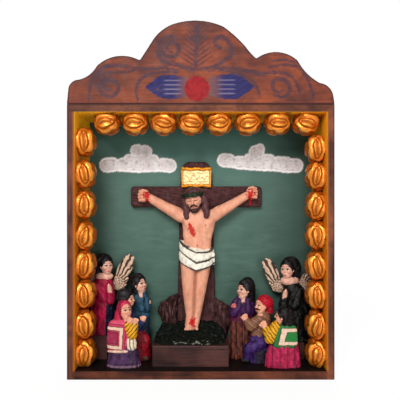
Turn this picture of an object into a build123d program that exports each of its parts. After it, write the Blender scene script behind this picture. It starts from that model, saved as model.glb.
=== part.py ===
from build123d import *
from math import cos, pi, sin
import os

# Retablo box: an open wooden case with a shaped crest, a frame of moulded roses
# and moulded figures round a cross. Millimetres. X to the right, Y from the open
# front to the back, Z up. The origin is the middle of the foot of the whole box.
# The case is built round its contents: its inside follows from the figures.

# Boards of the case
side_thickness = 6.5
top_thickness = 6.5
bottom_thickness = 7
panel_thickness = 5
panel_inset = 0.6
corner_round = 1.5

# Crest that stands on the front of the top board
crest_height = 70
crest_thickness = 9

# Nails, square in the shank, with low eight-sided heads
nail_length = 20
nail_width = 2
nail_head_radius = 2.4
nail_head_height = 1
panel_nails_up = 3

# Roses on the side walls and under the top board
rose_radius = 12
rose_lift = 5.5
rose_back = 10
rose_front = 13
rose_inset = 1.5

# Plinth, mound, rocks and cross at the back of the niche
plinth_width = 66.4
plinth_height = 18
plinth_depth = 47
plinth_round = 1.5
mound_height = 12
cross_thickness = 7
cross_round = 3
upright_width = 29
upright_over_beam = 33
beam_width = 19.7
beam_overhang = 6.5
scroll_width = 28
scroll_height = 17
scroll_thickness = 4
scroll_roll = 1.6

# Figures: the span of the crucified figure's arms, the height of a standing
# villager and the height that an angel fills from the floor to its wing tips
arm_span = 100
villager_size = 80
angel_size = 100
left_pedestal_height = 21
right_pedestal_height = 15
wing_thickness = 3

# Room over the cross, behind the villagers and beside the figures, the running
# room between moulded pieces, and one overrun for all cuts
head_room = 37.6
back_room = 10.5
figure_gap = 2.4
clearance = 0.3
overrun = 2

# Width of each group of figures and depth of the villagers' ranks, in shares of
# the sizes of the figures that stand there
left_villagers_share = 0.401
left_angel_share = 0.29
right_villagers_share = 0.765
ranks_share = 0.606

# Reach of the crucified figure below and above the beam's middle and along it,
# in shares of the span of its arms, and the height of the mound under its feet
feet_share = 1.216
crown_share = 0.077
hands_share = 1.1
mound_under_feet_share = 0.5

# Place and foot of the upright and height of the rocks, in shares of the width of
# the plinth, and the middles of the rocks beside the foot, in shares of their height
cross_share = 0.572
upright_foot_share = 0.557
rock_share = 0.557
left_rock_share = 0.095
right_rock_share = 0.081
rock_depth_share = 0.19

# Depth of an angel and its room to the back panel, in shares of its size
angel_depth_share = 0.282

# Places worked out from the sizes above: the case is as deep as the villagers'
# ranks or the roses with an angel behind them need, whichever is more
left_group = left_villagers_share * villager_size + left_angel_share * angel_size + figure_gap
right_group = right_villagers_share * villager_size + rose_lift + rose_radius + figure_gap
inner_half = (left_group + plinth_width + right_group) / 2
half_width = inner_half + side_thickness
villagers_depth = ranks_share * villager_size + back_room
angels_depth = rose_inset + rose_front + rose_back + angel_depth_share * angel_size + clearance
board_depth = max(villagers_depth, angels_depth)
front = -(board_depth + panel_thickness) / 2
rear = front + board_depth
floor = bottom_thickness
plinth_left = -inner_half + left_group
plinth_right = plinth_left + plinth_width
plinth_top = floor + plinth_height
cross_x = plinth_left + cross_share * plinth_width
upright_foot_width = upright_foot_share * plinth_width
rock_height = rock_share * plinth_width
cross_front = rear - cross_thickness
feet_level = plinth_top + mound_under_feet_share * mound_height + clearance
beam_level = feet_level + feet_share * arm_span
beam_length = hands_share * arm_span + 2 * beam_overhang
upright_top = beam_level + upright_over_beam
ceiling = upright_top + head_room
case_height = ceiling + top_thickness

# Crest outline: each arc as start, middle and end, in shares of half the width
# of the case and of the height of the crest
crest_arc_shares = [
    ((-0.99, 0.16), (-0.968, 0.255), (-0.91, 0.295)),
    ((-0.91, 0.295), (-0.83, 0.355), (-0.777, 0.455)),
    ((-0.777, 0.455), (-0.645, 0.57), (-0.455, 0.525)),
    ((-0.455, 0.525), (-0.42, 0.61), (-0.37, 0.735)),
    ((-0.37, 0.735), (-0.304, 0.865), (-0.209, 0.957)),
    ((-0.209, 0.957), (-0.019, 1), (0.17, 0.928)),
    ((0.17, 0.928), (0.252, 0.823), (0.333, 0.693)),
    ((0.333, 0.693), (0.38, 0.6), (0.414, 0.546)),
    ((0.414, 0.546), (0.59, 0.622), (0.725, 0.52)),
    ((0.725, 0.52), (0.8, 0.36), (0.888, 0.256)),
    ((0.888, 0.256), (0.965, 0.19), (0.991, 0.093)),
]

# Rows of roses: the pitch in shares of a rose's radius, the room before the first
# and after the last in shares of the pitch, and how far each one strays from an
# even row, in shares of the pitch
left_row_shares = (2.15, 0.45, 0.9)
left_stray_shares = [0, -0.05, -0.03, -0.06, -0.1, -0.07, -0.04, 0.03]
right_row_shares = (2.09, 0.455, 1.14)
right_stray_shares = [0, -0.04, -0.01, 0, 0.04, 0.05, 0.07, 0.01]
top_row_shares = (2.04, 1.01, 0.55)
top_stray_shares = [0, 0, 0, -0.03, -0.05, -0.04, 0, 0]

# Rings of a rose from back to front: how far along, how wide the petal tips are
# and how wide the notches between them, in shares of its depth and radius
rose_ring_shares = [
    (-1, 0.5, 0.5), (-0.55, 0.9, 0.82), (0, 1, 0.86), (0.3, 0.9, 0.76), (0.3, 0.66, 0.74),
    (0.62, 0.58, 0.68), (0.62, 0.5, 0.4), (0.9, 0.36, 0.26),
]

# Rocks beside the cross: rings as height, shift across, shift forward, half
# width and half depth, in shares of the height of a rock
left_rock_shares = [
    (0, 0.04, 0, 0.17, 0.17), (0.22, 0, 0, 0.18, 0.18), (0.5, -0.1, 0, 0.23, 0.18),
    (0.65, -0.1, 0, 0.26, 0.18), (0.78, -0.04, 0, 0.22, 0.17), (0.93, 0.06, -0.02, 0.12, 0.13),
    (1, 0.12, -0.04, 0.06, 0.08),
]
right_rock_shares = [
    (0, 0, 0, 0.17, 0.17), (0.24, 0.05, 0, 0.22, 0.18), (0.55, 0.07, 0, 0.25, 0.18),
    (0.7, 0.03, -0.01, 0.22, 0.16), (0.82, -0.06, -0.03, 0.13, 0.12), (0.88, -0.1, -0.04, 0.06, 0.07),
]
rock_corner_shares = [1, 0.88, 1, 0.92, 0.8, 1, 0.9]

# Mound rings: height, half depth in shares of the mound's height and of the
# plinth's depth; each ring ends at the back panel
mound_ring_shares = [(0, 0.485, 0.955), (0.3, 0.3, 0.9), (0.75, 0.17, 0.82), (1, 0.11, 0.7)]

# Crucified figure, in shares of the span of its arms, from the middle of the
# beam's front. Rings are height, across, forward, half width and half depth.
torso_shares = [
    (-0.64, 0, -0.09, 0.12, 0.07), (-0.58, 0, -0.085, 0.142, 0.075), (-0.52, 0, -0.085, 0.14, 0.075),
    (-0.44, 0.01, -0.08, 0.122, 0.065), (-0.35, 0.015, -0.08, 0.13, 0.07), (-0.25, 0.02, -0.08, 0.145, 0.077),
    (-0.18, 0.015, -0.075, 0.155, 0.07), (-0.14, 0.005, -0.075, 0.12, 0.055),
    (-0.11, -0.01, -0.08, 0.055, 0.045), (-0.06, -0.02, -0.085, 0.045, 0.042),
]
# Limbs are across, forward, height and radius at one end, then at the other
leg_shares = [
    (-0.075, -0.09, -0.58, 0.075, -0.068, -0.12, -0.9, 0.056),
    (-0.068, -0.12, -0.9, 0.056, -0.055, -0.09, -1.12, 0.038),
    (0.07, -0.09, -0.58, 0.075, 0.036, -0.12, -0.9, 0.056),
    (0.036, -0.12, -0.9, 0.056, 0.0, -0.095, -1.1, 0.038),
    (-0.055, -0.09, -1.1, 0.04, -0.05, -0.13, -1.175, 0.035),
    (0.0, -0.11, -1.08, 0.038, -0.035, -0.16, -1.18, 0.036),
]
left_arm_shares = [
    (-0.135, -0.07, -0.18, 0.062, -0.31, -0.06, -0.1, 0.048),
    (-0.31, -0.06, -0.1, 0.048, -0.45, -0.035, -0.015, 0.034),
]
left_palm_shares = ((-0.49, -0.03, 0.012), (0.055, 0.035, 0.05))
right_arm_shares = [
    (0.145, -0.07, -0.18, 0.062, 0.33, -0.06, -0.09, 0.048),
    (0.33, -0.06, -0.09, 0.048, 0.47, -0.035, 0.02, 0.033),
]
right_palm_shares = ((0.51, -0.03, 0.04), (0.048, 0.033, 0.046))
# Balls are a centre and its half sizes: skull, hair and beard
head_ball_shares = [
    ((-0.035, -0.11, -0.05), (0.078, 0.075, 0.1)),
    ((-0.04, -0.09, -0.035), (0.1, 0.08, 0.112)),
    ((-0.02, -0.155, -0.125), (0.045, 0.035, 0.055)),
]
lock_shares = [
    (-0.12, -0.1, -0.05, 0.03, -0.095, -0.13, -0.18, 0.022),
    (0.045, -0.1, -0.06, 0.03, 0.08, -0.12, -0.15, 0.022),
]
# Loincloth rings as the torso's, with the drop of the front of each ring last
cloth_shares = [
    (-0.55, 0.0, -0.085, 0.15, 0.088, 0.09), (-0.5, 0.0, -0.085, 0.158, 0.092, 0.08),
    (-0.45, 0.0, -0.085, 0.155, 0.088, 0.06), (-0.41, 0.0, -0.082, 0.145, 0.08, 0.05),
]

# Angels, in shares of their size, from the floor under them. The place is how far
# they stand from their wall and from the back panel.
left_angel_place_shares = (0.16, 0.209)
left_angel_robe_shares = [
    (0.21, 0, 0, 0.1, 0.07), (0.45, 0.01, 0, 0.1, 0.07), (0.62, 0.015, 0, 0.095, 0.066),
    (0.7, 0.02, 0, 0.085, 0.055), (0.75, 0.025, 0, 0.04, 0.04),
]
left_angel_limb_shares = [
    (0.07, -0.03, 0.66, 0.04, 0.085, -0.055, 0.53, 0.042),
    (0.085, -0.055, 0.53, 0.04, 0.077, -0.075, 0.64, 0.022),
]
left_angel_head_shares = ((0.017, 0, 0.835), (0.093, 0.068, 0.102))
left_angel_near_wing_shares = [
    (0.008, 0.59), (0.008, 0.7), (0.065, 0.74), (0.115, 0.79), (0.16, 0.86), (0.205, 0.915), (0.245, 0.925),
    (0.258, 0.88), (0.235, 0.81), (0.22, 0.73), (0.205, 0.63), (0.17, 0.595), (0.11, 0.58),
]
left_angel_far_wing_shares = [
    (-0.008, 0.59), (-0.008, 0.7), (-0.075, 0.75), (-0.1, 0.805), (-0.13, 0.815), (-0.15, 0.78),
    (-0.15, 0.66), (-0.11, 0.61),
]
left_pedestal_shares = (-0.018, 0, 0.072, 0.06)

right_angel_place_shares = (0.2215, 0.209)
right_angel_robe_shares = [
    (0.15, 0.02, 0, 0.12, 0.07), (0.4, 0.02, 0, 0.125, 0.07), (0.58, 0.012, 0, 0.115, 0.066),
    (0.67, 0.01, 0, 0.085, 0.055), (0.72, -0.005, 0, 0.042, 0.04),
]
right_angel_limb_shares = [
    (-0.055, -0.03, 0.62, 0.04, -0.09, -0.05, 0.5, 0.042),
    (-0.09, -0.05, 0.5, 0.04, -0.065, -0.075, 0.62, 0.022),
]
right_angel_head_shares = ((-0.025, 0, 0.81), (0.093, 0.068, 0.1))
right_angel_near_wing_shares = [
    (-0.008, 0.55), (-0.008, 0.66), (-0.075, 0.71), (-0.12, 0.78), (-0.17, 0.86), (-0.21, 0.88), (-0.235, 0.84),
    (-0.22, 0.75), (-0.18, 0.65), (-0.13, 0.57), (-0.09, 0.54),
]
right_angel_far_wing_shares = [
    (0.008, 0.55), (0.008, 0.65), (0.075, 0.68), (0.12, 0.71), (0.17, 0.72), (0.205, 0.69),
    (0.205, 0.6), (0.15, 0.54),
]
right_pedestal_shares = (0.015, 0, 0.08, 0.06)

# Villagers, in shares of a villager's size, from the floor under them: how far they
# stand from the plinth and behind the front, the rings of the clothes, the limbs
# and the balls
villager_shares = {
    "woman_left": {
        "place": (-0.306, 0.1775),
        "robe": [
            (0, 0, 0, 0.18, 0.104), (0.15, 0, 0, 0.17, 0.104), (0.165, -0.02, 0, 0.15, 0.1),
            (0.3, -0.03, 0, 0.145, 0.1), (0.45, -0.03, 0, 0.11, 0.085), (0.5, -0.025, 0, 0.07, 0.07),
        ],
        "limbs": [
            (0.05, -0.045, 0.425, 0.05, 0.1, -0.05, 0.31, 0.055),
            (0.1, -0.05, 0.31, 0.042, 0.138, -0.045, 0.46, 0.032),
        ],
        "balls": [((-0.03, 0, 0.575), (0.088, 0.088, 0.12)), ((0.14, -0.05, 0.485), (0.038, 0.035, 0.038))],
    },
    "man_left": {
        "place": (-0.226, 0.391),
        "robe": [
            (0, 0.04, 0, 0.15, 0.07), (0.13, 0.05, 0, 0.14, 0.07), (0.3, 0.01, 0, 0.125, 0.07),
            (0.45, -0.06, 0, 0.105, 0.068), (0.55, -0.09, 0, 0.08, 0.06), (0.6, -0.09, 0, 0.05, 0.045),
        ],
        "limbs": [
            (-0.02, -0.03, 0.5, 0.045, 0.04, -0.045, 0.34, 0.048),
            (0.04, -0.045, 0.34, 0.042, 0.115, -0.045, 0.44, 0.03),
        ],
        "balls": [((-0.075, 0, 0.665), (0.1, 0.07, 0.1)), ((0.118, -0.045, 0.455), (0.038, 0.034, 0.038))],
    },
    "onlooker_left": {
        "place": (-0.163, 0.538),
        "robe": [
            (0, 0, 0, 0.1, 0.066), (0.25, 0, 0, 0.1, 0.066), (0.5, 0.005, 0, 0.1, 0.066),
            (0.67, 0.005, 0, 0.085, 0.06), (0.76, 0.01, 0, 0.038, 0.038),
        ],
        "limbs": [
            (0.045, -0.03, 0.65, 0.042, 0.075, -0.04, 0.52, 0.044),
            (0.075, -0.04, 0.52, 0.036, 0.105, -0.03, 0.6, 0.028),
        ],
        "balls": [((-0.034, 0, 0.83), (0.1, 0.068, 0.113))],
    },
    "onlooker_right": {
        "place": (0.137, 0.4646),
        "robe": [
            (0, 0.01, 0, 0.128, 0.08), (0.25, 0.012, 0, 0.13, 0.08), (0.43, 0.018, 0, 0.14, 0.08),
            (0.55, 0.03, 0, 0.15, 0.078), (0.65, 0.04, 0, 0.125, 0.066), (0.73, 0.055, 0, 0.045, 0.045),
        ],
        "limbs": [
            (0.0, -0.03, 0.6, 0.045, -0.06, -0.05, 0.5, 0.045),
            (-0.06, -0.05, 0.5, 0.04, -0.045, -0.055, 0.6, 0.03),
        ],
        "balls": [((0.06, 0, 0.795), (0.102, 0.078, 0.115))],
    },
    "man_right": {
        "place": (0.333, 0.302),
        "robe": [
            (0, 0, 0, 0.138, 0.066), (0.11, 0, 0, 0.138, 0.066), (0.25, 0.012, 0, 0.12, 0.066),
            (0.38, 0.03, 0, 0.105, 0.064), (0.5, 0.05, 0, 0.08, 0.056), (0.56, 0.06, 0, 0.05, 0.04),
        ],
        "limbs": [
            (0.0, -0.035, 0.45, 0.05, -0.095, -0.035, 0.41, 0.054),
            (-0.095, -0.035, 0.41, 0.048, -0.14, -0.035, 0.48, 0.036),
        ],
        "balls": [((0.065, 0, 0.62), (0.092, 0.066, 0.098)), ((-0.152, -0.035, 0.51), (0.04, 0.036, 0.04))],
    },
    "woman_right": {
        "place": (0.575, 0.1505),
        "robe": [
            (0, 0, 0, 0.188, 0.073), (0.1, 0, 0, 0.183, 0.073), (0.215, 0.005, 0, 0.145, 0.071),
            (0.23, 0.03, 0, 0.13, 0.07), (0.4, 0.025, 0, 0.118, 0.067), (0.47, 0.015, 0, 0.07, 0.055),
        ],
        "limbs": [
            (-0.06, -0.025, 0.425, 0.05, -0.11, -0.025, 0.28, 0.058),
            (-0.11, -0.025, 0.28, 0.048, -0.19, -0.025, 0.43, 0.036),
        ],
        "balls": [((0.01, 0, 0.55), (0.1, 0.07, 0.115)), ((-0.2, -0.025, 0.465), (0.04, 0.036, 0.042))],
    },
}
# A hat and a knitted cap: rings as height, across, forward, half width, half depth
hat_shares = [
    (0.695, -0.11, 0, 0.092, 0.084), (0.715, -0.11, 0, 0.094, 0.086), (0.725, -0.11, 0, 0.075, 0.07),
    (0.775, -0.11, 0, 0.064, 0.06), (0.795, -0.11, 0, 0.04, 0.038),
]
cap_shares = [
    (0.6, 0.125, 0, 0.055, 0.07), (0.66, 0.09, 0, 0.085, 0.074), (0.7, 0.09, 0, 0.078, 0.064),
    (0.735, 0.095, 0, 0.035, 0.03),
]
shoe_shares = [(0, -0.14, -0.01, 0.062, 0.045), (0.03, -0.14, -0.01, 0.06, 0.042), (0.06, -0.125, 0, 0.04, 0.03)]

# Sides of the moulded forms
robe_sides = 12
limb_sides = 6
ball_sides = 8
ball_bands = 4
petals = 5


def ring(centre, half_x, half_y, sides, turn=0):
    """Points of a level ring round a centre."""
    angles = [turn + 2 * pi * i / sides for i in range(sides)]
    return [centre + Vector(half_x * cos(a), half_y * sin(a), 0) for a in angles]


def skin(rings, foot=None, crown=None):
    """A solid of flat triangles between rings of points, closed by a fan at each end."""
    foot = foot or sum(rings[0], Vector()) / len(rings[0])
    crown = crown or sum(rings[-1], Vector()) / len(rings[-1])
    corners = []
    for low, high in zip(rings, rings[1:]):
        for i in range(len(low)):
            corners.append((low[i - 1], low[i], high[i]))
            corners.append((low[i - 1], high[i], high[i - 1]))
    corners += [(foot, rings[0][i], rings[0][i - 1]) for i in range(len(rings[0]))]
    corners += [(crown, rings[-1][i - 1], rings[-1][i]) for i in range(len(rings[-1]))]
    return Solid(Shell([Face(Wire.make_polygon(three)) for three in corners]))


def robe(place, size, shares, sides=robe_sides):
    """Clothes or a trunk: level rings one over the other."""
    rings = []
    for rise, across, forward, half_x, half_y in shares:
        rings.append(ring(place + size * Vector(across, forward, rise), size * half_x, size * half_y, sides))
    return skin(rings)


def ball(place, size, shares):
    """An egg shape of flat facets."""
    centre_share, half_share = shares
    centre = place + size * Vector(*centre_share)
    half = size * Vector(*half_share)
    rings = []
    for band in range(ball_bands):
        slope = pi * ((band + 0.5) / ball_bands - 0.5) * 0.92
        level = centre + Vector(0, 0, half.Z * sin(slope))
        rings.append(ring(level, half.X * cos(slope), half.Y * cos(slope), ball_sides))
    return skin(rings, centre - Vector(0, 0, half.Z), centre + Vector(0, 0, half.Z))


def limb(place, size, shares):
    """A straight limb between two places, each with a radius, rounded off at both ends."""
    start = place + size * Vector(*shares[0:3])
    end = place + size * Vector(*shares[4:7])
    along = (end - start).normalized()
    across = Vector(0, 1, 0).cross(along).normalized()
    forward = along.cross(across)
    rings = []
    for centre, radius in ((start, size * shares[3]), (end, size * shares[7])):
        angles = [2 * pi * i / limb_sides for i in range(limb_sides)]
        rings.append([centre + across * (radius * cos(a)) + forward * (radius * sin(a)) for a in angles])
    return skin(rings, start - along * (size * shares[3] / 2), end + along * (size * shares[7] / 2))


def fused(lumps):
    """One moulded solid of lumps that run into each other."""
    return lumps[0].fuse(*lumps[1:])


def block(x_range, y_range, z_range):
    """A box between two places on each axis."""
    size = [high - low for low, high in (x_range, y_range, z_range)]
    return Pos(x_range[0], y_range[0], z_range[0]) * Box(*size, align=(Align.MIN,) * 3)


def villager_spot(place_shares):
    """The floor under a villager, beside the plinth on the left or the right."""
    across = place_shares[0] * villager_size
    x = plinth_left + across if across < 0 else plinth_right + across
    return Vector(x, front + place_shares[1] * villager_size, floor)


def angel_spot(side, place_shares):
    """The floor under an angel, inside the left or the right wall."""
    x = side * (inner_half - place_shares[0] * angel_size)
    return Vector(x, rear - place_shares[1] * angel_size, floor)


def nail(head_place, outward):
    """A nail whose head is flush at a place, driven against the outward direction."""
    shank = Box(nail_width, nail_width, nail_length, align=(Align.CENTER, Align.CENTER, Align.MAX))
    head = extrude(RegularPolygon(nail_head_radius, 8), -nail_head_height)
    return Plane(origin=head_place, z_dir=outward).location * (shank + head)


def board_nails():
    """Nails at the four corners of the case and up into the crest."""
    nails = []
    for side in (-1, 1):
        for share in (0.25, 0.75):
            y = front + share * board_depth
            nails.append(nail((side * (half_width - side_thickness / 2), y, case_height), (0, 0, 1)))
            nails.append(nail((side * half_width, y, bottom_thickness / 2), (side, 0, 0)))
    for share in (-0.7, 0, 0.7):
        nails.append(nail((share * inner_half, front + crest_thickness / 2, ceiling), (0, 0, -1)))
    return nails


def panel_nails():
    """Nails through the back panel into the rear edges of the boards."""
    back = rear + panel_thickness
    nails = []
    for side in (-1, 1):
        x = side * (half_width - side_thickness / 2)
        for i in range(panel_nails_up):
            z = case_height * (i + 0.5) / panel_nails_up
            nails.append(nail((x, back, z), (0, 1, 0)))
        x = side * inner_half / 2
        nails.append(nail((x, back, case_height - top_thickness / 2), (0, 1, 0)))
        nails.append(nail((x, back, bottom_thickness / 2), (0, 1, 0)))
    return nails


def side_board(side):
    """A side board from the foot to the top board, with its outer edges rounded."""
    outer, inner = side * half_width, side * inner_half
    board = block((min(outer, inner), max(outer, inner)), (front, rear), (0, ceiling))
    edges = board.edges().filter_by(Axis.Z).sort_by(Axis.X)
    return fillet(edges[:2] if side < 0 else edges[-2:], corner_round)


def top_board():
    """The top board, laid over both sides."""
    board = block((-half_width, half_width), (front, rear), (ceiling, case_height))
    return fillet(board.edges().filter_by(Axis.Z), corner_round)


def bottom_board():
    """The bottom board, set between the sides."""
    return block((-inner_half, inner_half), (front, rear), (0, floor))


def back_panel():
    """The back panel, nailed on the rear edges of the boards."""
    half = half_width - panel_inset
    panel = block((-half, half), (rear, rear + panel_thickness), (panel_inset, case_height - panel_inset))
    return fillet(panel.edges().filter_by(Axis.Y), corner_round)


def crest_board():
    """The crest, cut to its outline of lobes and standing on the top board."""
    def at(share):
        return (share[0] * half_width, case_height + share[1] * crest_height)

    arcs = [ThreePointArc(at(start), at(middle), at(end)) for start, middle, end in crest_arc_shares]
    foot = Polyline(arcs[-1] @ 1, (half_width, case_height), (-half_width, case_height), arcs[0] @ 0)
    face = make_face(arcs + [foot])
    return Pos(0, front + crest_thickness, 0) * extrude(Plane.XZ * face, crest_thickness)


def rose(wall_cut):
    """A moulded rose round its own centre, facing the front and cut flat at its wall."""
    rings = []
    for along, tip, notch in rose_ring_shares:
        depth = -along * (rose_back if along < 0 else rose_front)
        points = []
        for i in range(2 * petals):
            radius = rose_radius * (notch if i % 2 else tip)
            angle = wall_cut + pi * i / petals
            points.append(Vector(radius * cos(angle), depth, radius * sin(angle)))
        rings.append(points)
    flower = skin(rings, crown=Vector(0, -rose_front, 0))
    reach = 3 * rose_radius
    cutter = Pos(-rose_lift - reach / 2, 0, 0) * Box(reach, reach, reach)
    return flower - Rot(0, -wall_cut * 180 / pi, 0) * cutter


def row(length, row_shares, stray_shares):
    """Places of the roses along one wall: as many as it has room for."""
    pitch_share, start_share, end_share = row_shares
    pitch = pitch_share * rose_radius
    count = int(length / pitch - start_share - end_share) + 1
    return [pitch * (i + start_share + stray_shares[i % len(stray_shares)]) for i in range(count)]


def roses():
    """The frame of roses, as node names and solids."""
    y = front + rose_front + rose_inset
    wall = inner_half - rose_lift
    left, right, top = rose(0), rose(pi), rose(-pi / 2)
    made = {}
    for i, along in enumerate(row(ceiling - floor, left_row_shares, left_stray_shares)):
        made[f"rose_left_{i + 1}"] = Pos(-wall, y, floor + along) * left
    for i, along in enumerate(row(ceiling - floor, right_row_shares, right_stray_shares)):
        made[f"rose_right_{i + 1}"] = Pos(wall, y, floor + along) * right
    for i, along in enumerate(row(2 * inner_half, top_row_shares, top_stray_shares)):
        made[f"rose_top_{i + 1}"] = Pos(along - inner_half, y, ceiling - rose_lift) * top
    return made


def plinth():
    """The step that carries the mound and the cross."""
    body = block((plinth_left, plinth_right), (rear - plinth_depth, rear), (floor, plinth_top))
    edges = body.faces().sort_by(Axis.Y)[0].edges().sort_by(Axis.Z)[1:]
    return fillet(edges, plinth_round)


def cross_upright():
    """The tapered upright, with a lap for the beam in its front half."""
    outline = Polyline(
        (cross_x - upright_foot_width / 2, plinth_top),
        (cross_x - upright_width / 2, upright_top),
        (cross_x + upright_width / 2, upright_top),
        (cross_x + upright_foot_width / 2, plinth_top),
        close=True,
    )
    face = make_face(outline)
    face = fillet(face.vertices().sort_by(Axis.Y)[-2:], cross_round)
    post = Pos(0, rear, 0) * extrude(Plane.XZ * face, cross_thickness)
    half_lap = (cross_front - overrun, cross_front + cross_thickness / 2)
    beam_range = (beam_level - beam_width / 2, beam_level + beam_width / 2)
    return post - block((-half_width, half_width), half_lap, beam_range)


def cross_beam():
    """The beam, before the lap for the upright is cut from its rear half."""
    face = RectangleRounded(beam_length, beam_width, cross_round)
    return Pos(cross_x, rear, beam_level) * extrude(Plane.XZ * face, cross_thickness)


def title_scroll():
    """A small scroll on the head of the cross, rolled at its upper and lower edge."""
    z_low = beam_level + crown_share * arm_span + clearance
    z_high = z_low + scroll_height
    x_range = (cross_x - scroll_width / 2, cross_x + scroll_width / 2)
    sheet = block(x_range, (cross_front - scroll_thickness / 2, cross_front), (z_low, z_high))
    roll = extrude(Plane.YZ * RegularPolygon(scroll_roll, 8), scroll_width / 2, both=True)
    parts = [sheet]
    for z in (z_low + scroll_roll, z_high - scroll_roll):
        parts.append(Pos(cross_x, cross_front - scroll_thickness + scroll_roll, z) * roll)
    return fused(parts)


def rock(shares, side, offset_share):
    """A rock on the plinth beside the cross."""
    x = cross_x + side * (upright_foot_width / 2 + offset_share * rock_height)
    place = Vector(x, rear - rock_depth_share * rock_height, plinth_top)
    rings = []
    for rise, across, forward, half_x, half_y in shares:
        points = []
        for i, corner in enumerate(rock_corner_shares):
            angle = 2 * pi * i / len(rock_corner_shares)
            shift = Vector(across + corner * half_x * cos(angle), forward + corner * half_y * sin(angle), rise)
            points.append(place + rock_height * shift)
        rings.append(points)
    return skin(rings)


def grass_mound():
    """The mound on the plinth, low in front and high at the back panel."""
    middle = (plinth_left + plinth_right) / 2
    half = plinth_width / 2
    rings = []
    for rise, half_depth, width in mound_ring_shares:
        depth = half_depth * plinth_depth
        low, high = rear - 2 * depth, rear
        x, z = half * width, plinth_top + rise * mound_height
        round_off = depth / 3
        rings.append([
            Vector(middle - x, high, z), Vector(middle - x, low + round_off, z),
            Vector(middle - x + round_off, low, z), Vector(middle - x / 3, low, z),
            Vector(middle + x / 3, low, z), Vector(middle + x - round_off, low, z),
            Vector(middle + x, low + round_off, z), Vector(middle + x, high, z),
        ])
    return skin(rings)


def crucified():
    """The figure on the cross: body, head, two arms and a loincloth that fit each other."""
    place = Vector(cross_x, cross_front, beam_level)
    behind = block((-half_width, half_width), (cross_front, cross_front + arm_span), (0, case_height))
    body = fused([robe(place, arm_span, torso_shares)] + [limb(place, arm_span, s) for s in leg_shares]) - behind
    made = {"crucified_body": body}
    for name, limbs, palm in (
        ("crucified_arm_left", left_arm_shares, left_palm_shares),
        ("crucified_arm_right", right_arm_shares, right_palm_shares),
    ):
        arm = fused([limb(place, arm_span, s) for s in limbs] + [ball(place, arm_span, palm)])
        made[name] = arm - behind - body
    skull = fused([ball(place, arm_span, s) for s in head_ball_shares] + [limb(place, arm_span, s) for s in lock_shares])
    made["crucified_head"] = skull - behind - body - made["crucified_arm_left"] - made["crucified_arm_right"]
    made["loincloth"] = cloth(place) - behind - body
    return made


def cloth(place):
    """The knotted cloth: rings that drop to a point in front."""
    rings = []
    for rise, across, forward, half_x, half_y, drop in cloth_shares:
        centre = place + arm_span * Vector(across, forward, rise)
        points = ring(centre, arm_span * half_x, arm_span * half_y, robe_sides)
        sags = [max(0, (centre.Y - point.Y) / (arm_span * half_y)) ** 2 for point in points]
        rings.append([point - Vector(0, 0, arm_span * drop * sag) for point, sag in zip(points, sags)])
    return skin(rings)


def wing(place, shares, behind):
    """A flat wing just behind an angel's robe."""
    points = [(place.X + x * angel_size, place.Z + z * angel_size) for x, z in shares]
    face = Plane.XZ * make_face(Polyline(*points, close=True))
    y = place.Y + behind + clearance
    return Pos(0, y, 0) * extrude(face, wing_thickness, dir=(0, 1, 0))


def pedestal(place, shares, height):
    """The pedestal under an angel."""
    across, forward, half_x, half_y = shares
    centre = place + angel_size * Vector(across, forward, 0)
    wide, deep = angel_size * half_x, angel_size * half_y
    return block((centre.X - wide, centre.X + wide), (centre.Y - deep, centre.Y + deep), (floor, floor + height))


def angel(name, ground, robe_shares, limb_shares, head_shares, wing_shares, pedestal_shares, height):
    """An angel in its four pieces."""
    place = ground + Vector(0, 0, height - robe_shares[0][0] * angel_size)
    body = fused([robe(place, angel_size, robe_shares)] + [limb(place, angel_size, s) for s in limb_shares])
    behind = robe_shares[2][4] * angel_size
    return {
        name + "_body": body,
        name + "_head": ball(place, angel_size, head_shares) - body,
        name + "_wings": Compound(children=[wing(place, shares, behind) for shares in wing_shares]),
        name + "_pedestal": pedestal(ground, pedestal_shares, height),
    }


def villagers():
    """The villagers, each one moulded piece, with a hat and a cap of their own."""
    made = {}
    for name, shares in villager_shares.items():
        place = villager_spot(shares["place"])
        lumps = [robe(place, villager_size, shares["robe"])]
        lumps += [limb(place, villager_size, s) for s in shares["limbs"]]
        lumps += [ball(place, villager_size, s) for s in shares["balls"]]
        if name == "man_right":
            lumps.append(robe(place, villager_size, shoe_shares))
        made[name] = fused(lumps)
    for name, wearer, shares in (("hat", "man_left", hat_shares), ("cap", "man_right", cap_shares)):
        place = villager_spot(villager_shares[wearer]["place"])
        made[name] = robe(place, villager_size, shares) - made[wearer]
    return made


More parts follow.
